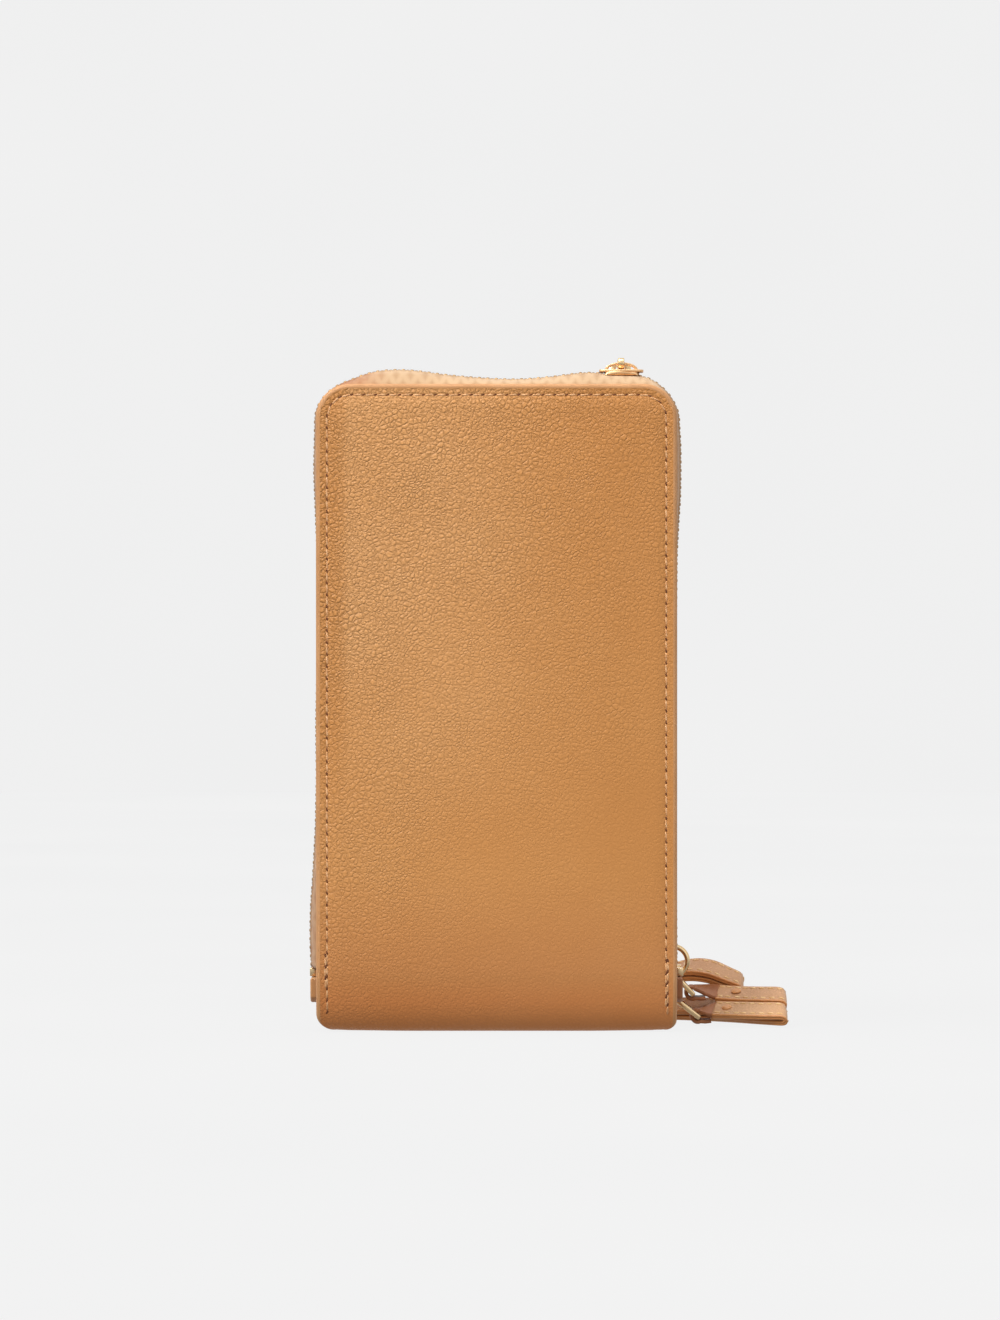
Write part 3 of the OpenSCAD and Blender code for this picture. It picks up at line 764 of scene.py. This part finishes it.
# ------------------------------------------------------------------ zip chain and tape
TOP_X = [-43, -40, -35.6, -31, -27, -22.4, -18, -13.6, -9.2, -4.8, 0, 4, 8.4, 12.8, 17, 21.6, 25.5, 29, 32.5, 36.8, 42, 43]
TOP_O = [0.7, 2.1, 3.4, 3.8, 3.8, 3.4, 2.7, 2.2, 1.75, 1.45, 1.15, 1.0, 1.1, 1.45, 1.85, 2.5, 3.0, 3.0, 2.5, 2.4, 2.3, 1.9]
LEFT_Z = [18, 24, 30, 37, 45, 60, 75, 90, 110, 140, 152, 165, 178]
LEFT_O = [0.9, 1.25, 1.3, 1.1, 0.5, -0.3, -0.6, -0.4, -0.8, -0.8, -0.3, 0.2, -0.1]
RIGHT_Z = [18, 40, 110, 140, 150, 157, 164, 172, 178]
RIGHT_O = [-0.5, -0.7, -0.8, -0.5, 0.0, 0.5, 0.6, 0.6, 0.2]
CHAIN_Z0 = 18.4
base = outline(0.0, CHAIN_Z0)


def chain_offset(p):
    x, z, nx, nz = p
    if nx < -0.999:
        return np.interp(z, LEFT_Z, LEFT_O)
    if nx > 0.999:
        return np.interp(z, RIGHT_Z, RIGHT_O)
    if nz > 0.999:
        return np.interp(x, TOP_X, TOP_O)
    if nx < 0:
        return np.interp(math.degrees(math.atan2(nz, -nx)), [0, 45, 75, 90], [-0.1, -0.4, 0.0, 0.7])
    return np.interp(math.degrees(math.atan2(nz, nx)), [0, 30, 60, 90], [0.2, -0.2, 0.3, 1.9])


bt, bq, BL = resample(base, 0.5)
off = np.array([chain_offset(p) for p in bq])
kern = np.exp(-np.linspace(-2, 2, 17) ** 2)
kern /= kern.sum()
off = np.convolve(np.pad(off, 8, mode="edge"), kern, mode="valid")
nrm = bq[:, 2:4] / np.linalg.norm(bq[:, 2:4], axis=1)[:, None]
line = bq[:, :2] + nrm * off[:, None]
ls = np.concatenate([[0], np.cumsum(np.hypot(np.diff(line[:, 0]), np.diff(line[:, 1])))])


def chain_point(s):
    x, z = np.interp(s, ls, line[:, 0]), np.interp(s, ls, line[:, 1])
    x2, z2 = np.interp(s + 0.3, ls, line[:, 0]), np.interp(s + 0.3, ls, line[:, 1])
    x1, z1 = np.interp(s - 0.3, ls, line[:, 0]), np.interp(s - 0.3, ls, line[:, 1])
    t = unit([x2 - x1, z2 - z1])
    return np.array([x, z]), t, np.array([-t[1], t[0]])


def tooth_template():
    """One moulded tooth: y along its length, x along the chain, z outward. Root at y=0, head at y=3.3."""
    prof = [(0.0, 0.42, 0.80), (0.25, 0.56, 0.98), (1.0, 0.58, 1.05), (1.9, 0.56, 1.05), (2.4, 0.44, 0.95), (2.75, 0.50, 0.86), (3.15, 0.52, 0.78), (3.4, 0.40, 0.58), (3.48, 0.18, 0.3)]
    vs, fs = [], []
    seg = 10
    for y, a, b in prof:
        for k in range(seg):
            th = 2 * math.pi * (k + 0.5) / seg
            c, s_ = math.cos(th), math.sin(th)
            e = 0.45
            vs.append((a * np.sign(c) * abs(c) ** e, y, b * np.sign(s_) * abs(s_) ** e))
    for i in range(len(prof) - 1):
        for k in range(seg):
            p, q = i * seg + k, i * seg + (k + 1) % seg
            fs.append((p, q, q + seg, p + seg))
    fs.append(tuple(range(seg))[::-1])
    n = (len(prof) - 1) * seg
    fs.append(tuple(n + k for k in range(seg)))
    return np.array(vs), fs


def teeth_row(name, start, side):
    tv, tf = tooth_template()
    g = Group()
    s = start
    while s < ls[-1] - 0.6:
        c, t, n = chain_point(s)
        vs = []
        for v in tv:
            y = -2.98 + v[1] if side < 0 else 2.98 - v[1]
            xz = c + t * v[0] + n * v[2] * 0.98
            vs.append((xz[0], y, xz[1]))
        g.add(vs, tf)
        s += 2.5
    o = g.done(name, gold_teeth)
    return o


ft = teeth_row("front_zip_teeth_row", 0.8, -1)
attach(ft, "front_leaf")
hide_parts("front_zip_teeth")
btr = teeth_row("back_zip_teeth_row", 2.05, 1)
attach(btr, "back_leaf")
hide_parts("back_zip_teeth")


def tape(name, side):
    """The tape half: from the seam inside the cover out to the bead beside the teeth."""
    n = len(bq)
    rings = []
    for i in range(0, n, 2):
        b, nn, o = bq[i, :2], nrm[i], off[i]
        c, t, nv = chain_point(min(ls[i], ls[-1] - 0.01))
        q = []
        a0 = (-4.2, 11.05)
        a1 = (-1.6, 11.0)
        a2 = (min(o, 0.6) * 0.55 - 0.35, 10.1)
        a3 = (o * 0.72 - 0.1, 8.0)
        a4 = (o * 0.95 - 0.02, 5.4)
        a5 = (o - 0.02, 3.9)
        mid = [a0, a1, a2, a3, a4, a5]
        fine = []
        m = np.array(mid)
        tt = np.linspace(0, 1, 16)
        kk = np.linspace(0, 1, len(m))
        oo = np.interp(tt, kk, m[:, 0])
        yy = np.interp(tt, kk, m[:, 1])
        oo = np.convolve(np.pad(oo, 1, mode="edge"), [0.25, 0.5, 0.25], mode="valid")
        th = 0.26
        loop = []
        for a, y in zip(oo, yy):
            loop.append((a + th, y))
        # bead along the teeth
        for k in range(7):
            th_b = math.radians(25 + k * 52)
            loop.append((o + 0.74 * math.cos(th_b), 3.15 - 0.74 * math.sin(th_b)))
        for a, y in zip(oo[::-1], yy[::-1]):
            loop.append((a - th, y))
        ring = []
        for a, y in loop:
            xz = b + nn * a
            ring.append((xz[0], side * y, xz[1]))
        rings.append(ring)
    m = len(rings[0])
    verts = [v for r in rings for v in r]
    faces = []
    for i in range(len(rings) - 1):
        for k in range(m):
            a, b2 = i * m + k, i * m + (k + 1) % m
            faces.append((a, b2, b2 + m, a + m))
    faces.append(tuple(range(m))[::-1])
    faces.append(tuple((len(rings) - 1) * m + k for k in range(m)))
    return make(name, verts, faces, tape_mat)


tf_ = tape("front_zip_tape_cloth", -1)
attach(tf_, "front_leaf")
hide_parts("front_zip_tape")
tb_ = tape("back_zip_tape_cloth", 1)
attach(tb_, "back_leaf")
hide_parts("back_zip_tape")

# ------------------------------------------------------------------ hardware and inner pieces from the CAD shapes
BODY = {}
for b, ns in frame["record"]["behaviour"]["bodies"].items():
    for nn_ in ns:
        BODY[nn_] = b


def redo(node, mat, bevel, segs=3, angle=35):
    o = copy_node(node, node + "_finished", mat, bevel, segs, angle)
    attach(o, BODY[node])
    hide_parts(node)
    return o


def slider():
    """The slider's plates and arch from the CAD, with rolled lips along both sides that guide the tapes."""
    o = copy_node("slider_body", "slider_body_finished", gold_satin, 0.22, 3)
    bm = bmesh.new()
    bm.from_mesh(o.data)
    for sy in (-1, 1):
        for x0, x1 in ((31.6, 33.25), (33.6, 37.75), (38.1, 42.0)):
            z0, z1, ylo, yhi = 190.85, 191.9, 3.1, 3.8
            r = bmesh.ops.create_cube(bm, size=1.0)
            for v in r["verts"]:
                v.co = Vector(((x0 + x1) / 2 + v.co.x * (x1 - x0), sy * ((ylo + yhi) / 2 + v.co.y * (yhi - ylo)), (z0 + z1) / 2 + v.co.z * (z1 - z0))) * MM
            es = list({e for v in r["verts"] for e in v.link_edges})
            bmesh.ops.bevel(bm, geom=es, offset=0.18 * MM, segments=2, affect="EDGES", profile=0.5)
        # the crowned cheek above the tape, with a rounded shoulder that leans in over the top plate
        rows = []
        cx, hw_ = 36.8, 4.75
        for k in range(29):
            u = -1 + 2 * k / 28
            x = cx + hw_ * math.sin(u * math.pi / 2)
            w = math.sqrt(max(0.0, 1 - ((x - cx) / (hw_ + 0.12)) ** 2))
            top = 193.25 + 1.35 * w ** 0.9
            row = []
            for j in range(9):
                a = math.radians(90 * j / 8)
                row.append((x, 4.25 - 0.95 * (1 - math.cos(a)), top - 0.95 + 0.95 * math.sin(a)))
            inner = [(x, 3.3, top - 0.55), (x, 3.45, 192.85)]
            outer = [(x, 4.0, 192.85), (x, 4.22, 193.05)]
            rows.append([bm.verts.new(Vector((p[0], sy * p[1], p[2])) * MM) for p in outer + row + inner])
        m_ = len(rows[0])
        for i in range(len(rows) - 1):
            for j in range(m_):
                q = (rows[i][j], rows[i][(j + 1) % m_], rows[i + 1][(j + 1) % m_], rows[i + 1][j])
                bm.faces.new(q if sy > 0 else q[::-1])
        bm.faces.new(rows[0][::-1] if sy > 0 else rows[0])
        bm.faces.new(rows[-1] if sy > 0 else rows[-1][::-1])
    bmesh.ops.recalc_face_normals(bm, faces=bm.faces)
    for f in bm.faces:
        f.smooth = True
    bm.to_mesh(o.data)
    bm.free()
    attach(o, BODY["slider_body"])
    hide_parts("slider_body")


slider()
for node, bev in (("pull_ring", 0.22), ("pull_tab", 0.3), ("clasp_upper_hook", 0.3), ("clasp_lower_hook", 0.3),
                  ("clasp_upper_lever", 0.15), ("clasp_lower_lever", 0.15), ("clasp_upper_loop", 0.35), ("clasp_lower_loop", 0.35),
                  ("coin_zip_slider", 0.12), ("coin_zip_pull", 0.15), ("zip_end_stops", 0.3), ("tab_rivet", 0.2)):
    redo(node, gold, bev)
redo("d_ring", gold, 0.0)
redo("coin_zip_teeth", gold_teeth, 0.16)
for node in ("front_board", "back_board"):
    redo(node, board_mat, 0.2, 2)
for node in ("front_lining", "back_lining", "coin_pocket_front", "coin_pocket_back"):
    redo(node, lining, 0.2, 2)
redo("spine_lining", lining, 0.15, 2)
for node in ("coin_zip_tape_front", "coin_zip_tape_back"):
    redo(node, tape_mat, 0.15, 2)
for node in [f"front_card_slot_{i}" for i in (1, 2, 3, 4)] + [f"back_card_slot_{i}" for i in (1, 2, 3)] + ["back_slip_pocket", "coin_pocket_edge"]:
    redo(node, slot_leather, 0.22, 3)
redo("zip_end_tab_left", edge_leather, 1.5, 5)
# painted shade: the right zip-end tab takes the darker shaded leather, the left one the plain edge leather
redo("zip_end_tab_right", shaded_wrap_leather, 1.5, 5)
redo("ring_tab", edge_leather, 0.4, 3)


# seams along the top of each card slot and round the coin pocket
def flat_seam(name, runs, body, pitch=2.6, w=0.42, h=0.34, mat=None):
    g = Group()
    for a, b, up in runs:
        a, b = np.array(a, float), np.array(b, float)
        L = np.linalg.norm(b - a)
        n = max(int(L / pitch), 1)
        d = (b - a) / L
        for i in range(n):
            c = a + d * (i + 0.5) * L / n
            vs, fs = capsule(c, d, np.array(up, float), L / n * 0.76, w, h, seg=6, rings=3)
            g.add(vs, fs)
    o = g.done(name, mat or thread)
    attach(o, body)
    return o


runs_f, runs_b = [], []
for i in range(4):
    zt = 172 - 16 * i
    yf = -(10.7 - 0.6 * (i + 1)) + 0.05
    runs_f += [((-46, yf, zt - 2), (46, yf, zt - 2), (0, 1, 0))]
    runs_b += [((-46, -yf, zt - 2), (46, -yf, zt - 2), (0, -1, 0))]
for sx in (-1, 1):
    runs_f += [((sx * 46.3, -8.25, 26), (sx * 46.3, -8.25, 120), (0, 1, 0)), ((0, -8.25, 26), (0, -8.25, 120), (0, 1, 0))][: 2 if sx > 0 else 1]
    runs_b += [((sx * 46.3, 8.25, 26), (sx * 46.3, 8.25, 120), (0, -1, 0))]
flat_seam("front_slot_seams", runs_f, "front_leaf")
flat_seam("back_slot_seams", runs_b, "back_leaf")
runs_c = []
for sy in (-1, 1):
    y = sy * 3.43
    runs_c += [((-44.5, y, 8), (-44.5, y, 158), (0, sy, 0)), ((44.5, y, 8), (44.5, y, 158), (0, sy, 0)), ((-44.5, y, 157.8), (44.5, y, 157.8), (0, sy, 0))]
flat_seam("coin_pocket_seams", runs_c, "back_leaf")


# ------------------------------------------------------------------ pleated gussets
def gusset(name, sx):
    pleats = 5
    n = pleats * 8
    y0, y1 = -8.0, -3.55
    verts, faces = [], []
    rows = 18
    z0, z1 = 26.0, 96.0
    for j in range(rows + 1):
        z = z0 + (z1 - z0) * j / rows
        amp = 2.0
        ring = []
        for i in range(n + 1):
            u = i / n
            x = 44.4 + amp * (1 - math.cos(2 * math.pi * u * pleats)) / 2 * 1.2 + 0.35 * (u * (1 - u))
            y = y0 + (y1 - y0) * u
            ring.append((sx * x, y, z))
        for i in range(n + 1):
            u = i / n
            x = 44.4 + amp * (1 - math.cos(2 * math.pi * u * pleats)) / 2 * 1.2 + 0.35 * (u * (1 - u)) - 0.28
            ring.append((sx * x, y0 + (y1 - y0) * u, z))
        verts += ring
    m = 2 * (n + 1)
    loop = list(range(n + 1)) + list(range(2 * n + 1, n, -1))
    for j in range(rows):
        for k in range(len(loop)):
            a, b = loop[k], loop[(k + 1) % len(loop)]
            faces.append((j * m + a, j * m + b, (j + 1) * m + b, (j + 1) * m + a))
    for i in range(n):
        faces.append((i, i + 1, n + 2 + i, n + 1 + i))
        o = rows * m
        faces.append((o + i, o + n + 1 + i, o + n + 2 + i, o + i + 1))
    return make(name, verts, faces, slot_leather)


for sx, nm in ((-1, "left"), (1, "right")):
    g = gusset("gusset_" + nm + "_pleated", sx)
    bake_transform(g)
    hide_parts("gusset_" + nm)

# ------------------------------------------------------------------ wrist strap
YAW, TILT = math.radians(-20), math.radians(22)
SO = np.array([85.0, 13.8, 2.55])
ES = np.array([math.cos(YAW), math.sin(YAW), 0])
EA = np.array([-math.sin(YAW) * math.cos(TILT), math.cos(YAW) * math.cos(TILT), math.sin(TILT)])
EB = np.cross(ES, EA)
PATH = np.array([[-21, 0, 1.9], [-18, 0, 1.9], [-12, 0, 1.9], [-6, 0, 1.9], [0, 0, 1.9], [0.7, 0, 1.6], [0.95, 0, 0.95], [0.7, 0, 0.3], [0, 0.2, 0],
  [-4, 1.2, -0.4], [-8, 3, -1.1], [-16, 7.5, -2.9], [-24, 11.5, -4.6], [-34, 13.5, -5.4], [-44, 15, -6], [-54, 17, -6.8], [-64, 19, -7.6], [-70, 20, -8],
  [-71, 20, -7.6], [-71.3, 20, -6.9], [-71, 20.2, -6.2], [-70, 20.4, -5.8],
  [-62, 20.4, -4], [-54, 20.4, -1.5], [-44, 20.4, 2], [-34, 20.4, 4.3], [-27, 20.4, 3.8], [-20, 20.4, 2], [-14, 20.4, 0.3],
  [-13.2, 20.4, 0.6], [-12.9, 20.4, 1.25], [-13.2, 20.4, 1.9], [-14, 20.4, 2.3],
  [-20, 20.4, 4], [-27, 20.4, 5.8], [-34, 20.4, 6.3], [-44, 20, 4], [-54, 17, 1.6], [-61, 14, -0.2], [-65, 13, -1],
  [-65.8, 13, -1.4], [-66.1, 13, -2.1], [-65.8, 13, -2.8], [-65, 13, -3.2],
  [-54, 13, -3.2], [-44, 13, -3.3], [-34, 13, -3.3], [-24, 12, -2.6], [-16, 11, -1.2], [-8, 10.3, 0], [0, 10.1, 0.3],
  [1, 10.1, 0.6], [1.3, 10.1, 1.25], [1, 10.1, 1.9], [0, 10.1, 2.2], [-6, 10.1, 2.2], [-12, 10.1, 2.2], [-18, 10.1, 2.4], [-21.5, 10.1, 2.6]])


def spline(p, step=0.7):
    """Centripetal Catmull-Rom through the points, resampled evenly."""
    out = []
    q = np.vstack([2 * p[0] - p[1], p, 2 * p[-1] - p[-2]])
    for i in range(1, len(q) - 2):
        p0, p1, p2, p3 = q[i - 1:i + 3]
        t0 = 0.0
        t1 = t0 + np.linalg.norm(p1 - p0) ** 0.5
        t2 = t1 + np.linalg.norm(p2 - p1) ** 0.5
        t3 = t2 + np.linalg.norm(p3 - p2) ** 0.5
        for t in np.linspace(t1, t2, 14)[:-1]:
            a1 = (t1 - t) / (t1 - t0) * p0 + (t - t0) / (t1 - t0) * p1
            a2 = (t2 - t) / (t2 - t1) * p1 + (t - t1) / (t2 - t1) * p2
            a3 = (t3 - t) / (t3 - t2) * p2 + (t - t2) / (t3 - t2) * p3
            b1 = (t2 - t) / (t2 - t0) * a1 + (t - t0) / (t2 - t0) * a2
            b2 = (t3 - t) / (t3 - t1) * a2 + (t - t1) / (t3 - t1) * a3
            out.append((t2 - t) / (t2 - t1) * b1 + (t - t1) / (t2 - t1) * b2)
    out.append(p[-1])
    out = np.array(out)
    s = np.concatenate([[0], np.cumsum(np.linalg.norm(np.diff(out, axis=0), axis=1))])
    t = np.linspace(0, s[-1], int(s[-1] / step) + 1)
    return np.array([[np.interp(v, s, out[:, k]) for k in range(3)] for v in t]), s[-1]


def ease(s):
    t = min(max((s + 34) / 28, 0), 1)
    return t * t * (3 - 2 * t)


def strap_world(q, da=0.0):
    """A point of the band: the right-hand folds are squared up to the wallet."""
    a = q[1] + da
    return SO + (q[0] - 0.337 * a * ease(q[0])) * ES + a * EA + q[2] * EB


spts, STRAP_LEN = spline(PATH, 0.7)
sw = np.array([strap_world(q) for q in spts])
SW, ST = 9.6, 1.5


def strap_frames():
    n = len(spts)
    out = []
    for i in range(n):
        d = spts[min(i + 1, n - 1)] - spts[max(i - 1, 0)]
        t = unit(sw[min(i + 1, n - 1)] - sw[max(i - 1, 0)])
        f = unit(-d[2] * ES + d[0] * EB)
        w = (strap_world(spts[i], 4.8) - strap_world(spts[i], -4.8)) / 9.6
        out.append((sw[i], t, w, f))
    return out


frames_ = strap_frames()


def strap_section():
    """Two bonded plies with rounded painted edges and a fine groove between them."""
    pts = []
    hw, ht = SW / 2, ST / 2
    top = [(-hw + 0.42, ht), (-hw + 1.2, ht - 0.02), (-hw + 1.55, ht - 0.07), (-hw + 1.9, ht), (-2, ht + 0.03), (0, ht + 0.05), (2, ht + 0.03), (hw - 1.9, ht), (hw - 1.55, ht - 0.07), (hw - 1.2, ht - 0.02), (hw - 0.42, ht)]
    right = [(hw - 0.14, ht - 0.08), (hw, ht - 0.3), (hw - 0.02, 0.14), (hw - 0.2, 0.0), (hw - 0.02, -0.14), (hw, -ht + 0.3), (hw - 0.14, -ht + 0.08)]
    bottom = [(-x, -y) for x, y in top]
    left = [(-x, -y) for x, y in right]
    pts = top + right + bottom + left
    kinds = [0] * (len(top) - 1) + [2] * (len(right) + 1) + [1] * (len(bottom) - 1) + [2] * (len(left) + 1)
    return pts, kinds


sec, kinds = strap_section()
verts, faces, mi = [], [], []
for c, t, w, f in frames_:
    for a, b in sec:
        verts.append(c + w * a + f * b)
m_ = len(sec)
for i in range(len(frames_) - 1):
    for k in range(m_):
        a, b = i * m_ + k, i * m_ + (k + 1) % m_
        faces.append((a, b, b + m_, a + m_))
        mi.append(kinds[k])
faces.append(tuple(range(m_))[::-1])
mi.append(2)
faces.append(tuple((len(frames_) - 1) * m_ + k for k in range(m_)))
mi.append(2)
strap = make("wrist_strap_leather", verts, faces, [strap_leather, strap_under_shaded, strap_paint], True, mi)
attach(strap, "strap_set")
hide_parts("wrist_strap")
# stitches along both edges on both faces
g = Group()
arc = np.concatenate([[0], np.cumsum(np.linalg.norm(np.diff(sw, axis=0), axis=1))])
s = 1.0
while s < arc[-1] - 1.0:
    i = int(np.searchsorted(arc, s))
    c, t, w, f = frames_[min(i, len(frames_) - 1)]
    for a in (-SW / 2 + 1.55, SW / 2 - 1.55):
        for fb in (1, -1):
            vs, fs = capsule(c + w * a + f * fb * (ST / 2 + 0.02), t, f * fb, 2.0, 0.6, 0.44, seg=6, rings=3)
            g.add(vs, fs)
    s += 2.7
o = g.done("wrist_strap_stitches", strap_thread)
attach(o, "strap_set")


# strap ends wrapped round the loops
def wrap_end(name, node, tip):
    lo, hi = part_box(node)
    lo, hi = np.array(lo) / MM, np.array(hi) / MM
    cx, cz = lo[0] + 2.2, (lo[2] + hi[2]) / 2
    yc = (lo[1] + hi[1]) / 2
    w = 9.2
    c, t, wv, f = tip
    # profile of the fold: from the strap's end, over the bar and back under itself
    verts, faces = [], []
    n = 22
    sec_n = 2
    path = []
    for k in range(n + 1):
        a = math.radians(62 + 236 * k / n)
        path.append((cx + 1.68 * math.cos(a), cz + 1.68 * math.sin(a)))
    th = 0.5
    pts = []
    top_start = np.array([c[0], c[2]])
    st0 = np.array([c[0] + 1.2, c[2] + 0.1])
    upper = [st0 * (1 - k / 4) + np.array(path[0]) * (k / 4) for k in range(4)]
    lower = [np.array([path[-1][0] + 1.4, path[-1][1] - 0.1]), np.array([path[-1][0] + 3.2, path[-1][1] + 0.1])]
    full = [u for u in upper] + [np.array(p) for p in path] + lower
    full = np.array(full)
    for i in range(len(full)):
        d = unit(full[min(i + 1, len(full) - 1)] - full[max(i - 1, 0)])
        nn2 = np.array([-d[1], d[0]])
        near = 1 - smoothstep(0, 5.0, i)
        yy = yc * (1 - near) + c[1] * near
        wd = unit(wv * near + np.array([0.0, 1.0, 0.0]) * (1 - near))
        for a, b in ((-w / 2, th), (-w / 2 + 0.3, th + 0.08), (w / 2 - 0.3, th + 0.08), (w / 2, th), (w / 2, -th), (w / 2 - 0.3, -th), (-w / 2 + 0.3, -th), (-w / 2, -th)):
            p = full[i] - nn2 * b
            verts.append((p[0] + wd[0] * a, yy + wd[1] * a, p[1] + wd[2] * a))
    m2 = 8
    for i in range(len(full) - 1):
        for k in range(m2):
            a, b = i * m2 + k, i * m2 + (k + 1) % m2
            faces.append((a, b, b + m2, a + m2))
    faces.append(tuple(range(m2))[::-1])
    faces.append(tuple((len(full) - 1) * m2 + k for k in range(m2)))
    o = make(name, verts, faces, shaded_wrap_leather)
    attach(o, "strap_set")
    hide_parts(node)


wrap_end("strap_end_lower_fold", "strap_end_lower", frames_[0])
wrap_end("strap_end_upper_fold", "strap_end_upper", frames_[-1])
redo("strap_rivets", strap_paint, 0.1, 2)

# ------------------------------------------------------------------ backdrop and floor
verts, faces = [], []
for k in range(9):
    z = -4600 + 1150 * k
    for x in (-6700, 6700):
        verts.append((x, 2600 + 0.0000048 * (z - 100) ** 2, z))
for k in range(8):
    faces.append((2 * k, 2 * k + 1, 2 * k + 3, 2 * k + 2))
fm = M("studio_backdrop")
n_ = fm.noise(3, 2)
fm.p.inputs["Base Color"].default_value = (0.02, 0.02, 0.02, 1)
fm.p.inputs["Roughness"].default_value = 1.0
fm.p.inputs["Specular IOR Level"].default_value = 0.0
fm.link(fm.ramp(n_, [(0.3, (0.984, 0.985, 0.986, 1)), (0.7, (1.0, 1.0, 1.0, 1))]), fm.p.inputs["Emission Color"])
fm.p.inputs["Emission Strength"].default_value = 0.862
drop = make("backdrop", verts, faces, fm.m)
drop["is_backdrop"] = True
# the floor is pale and matte, and throws no light back on the wallet
FLOOR_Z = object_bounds()[0][2] * 1000 - 0.1
floor = make("floor", [(-6700, -7000, FLOOR_Z), (6700, -7000, FLOOR_Z), (6700, 2700, FLOOR_Z), (-6700, 2700, FLOOR_Z)], [(0, 1, 2, 3)], fm.m)
floor.visible_diffuse = False
floor.visible_glossy = False
floor.visible_shadow = False
floor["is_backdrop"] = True
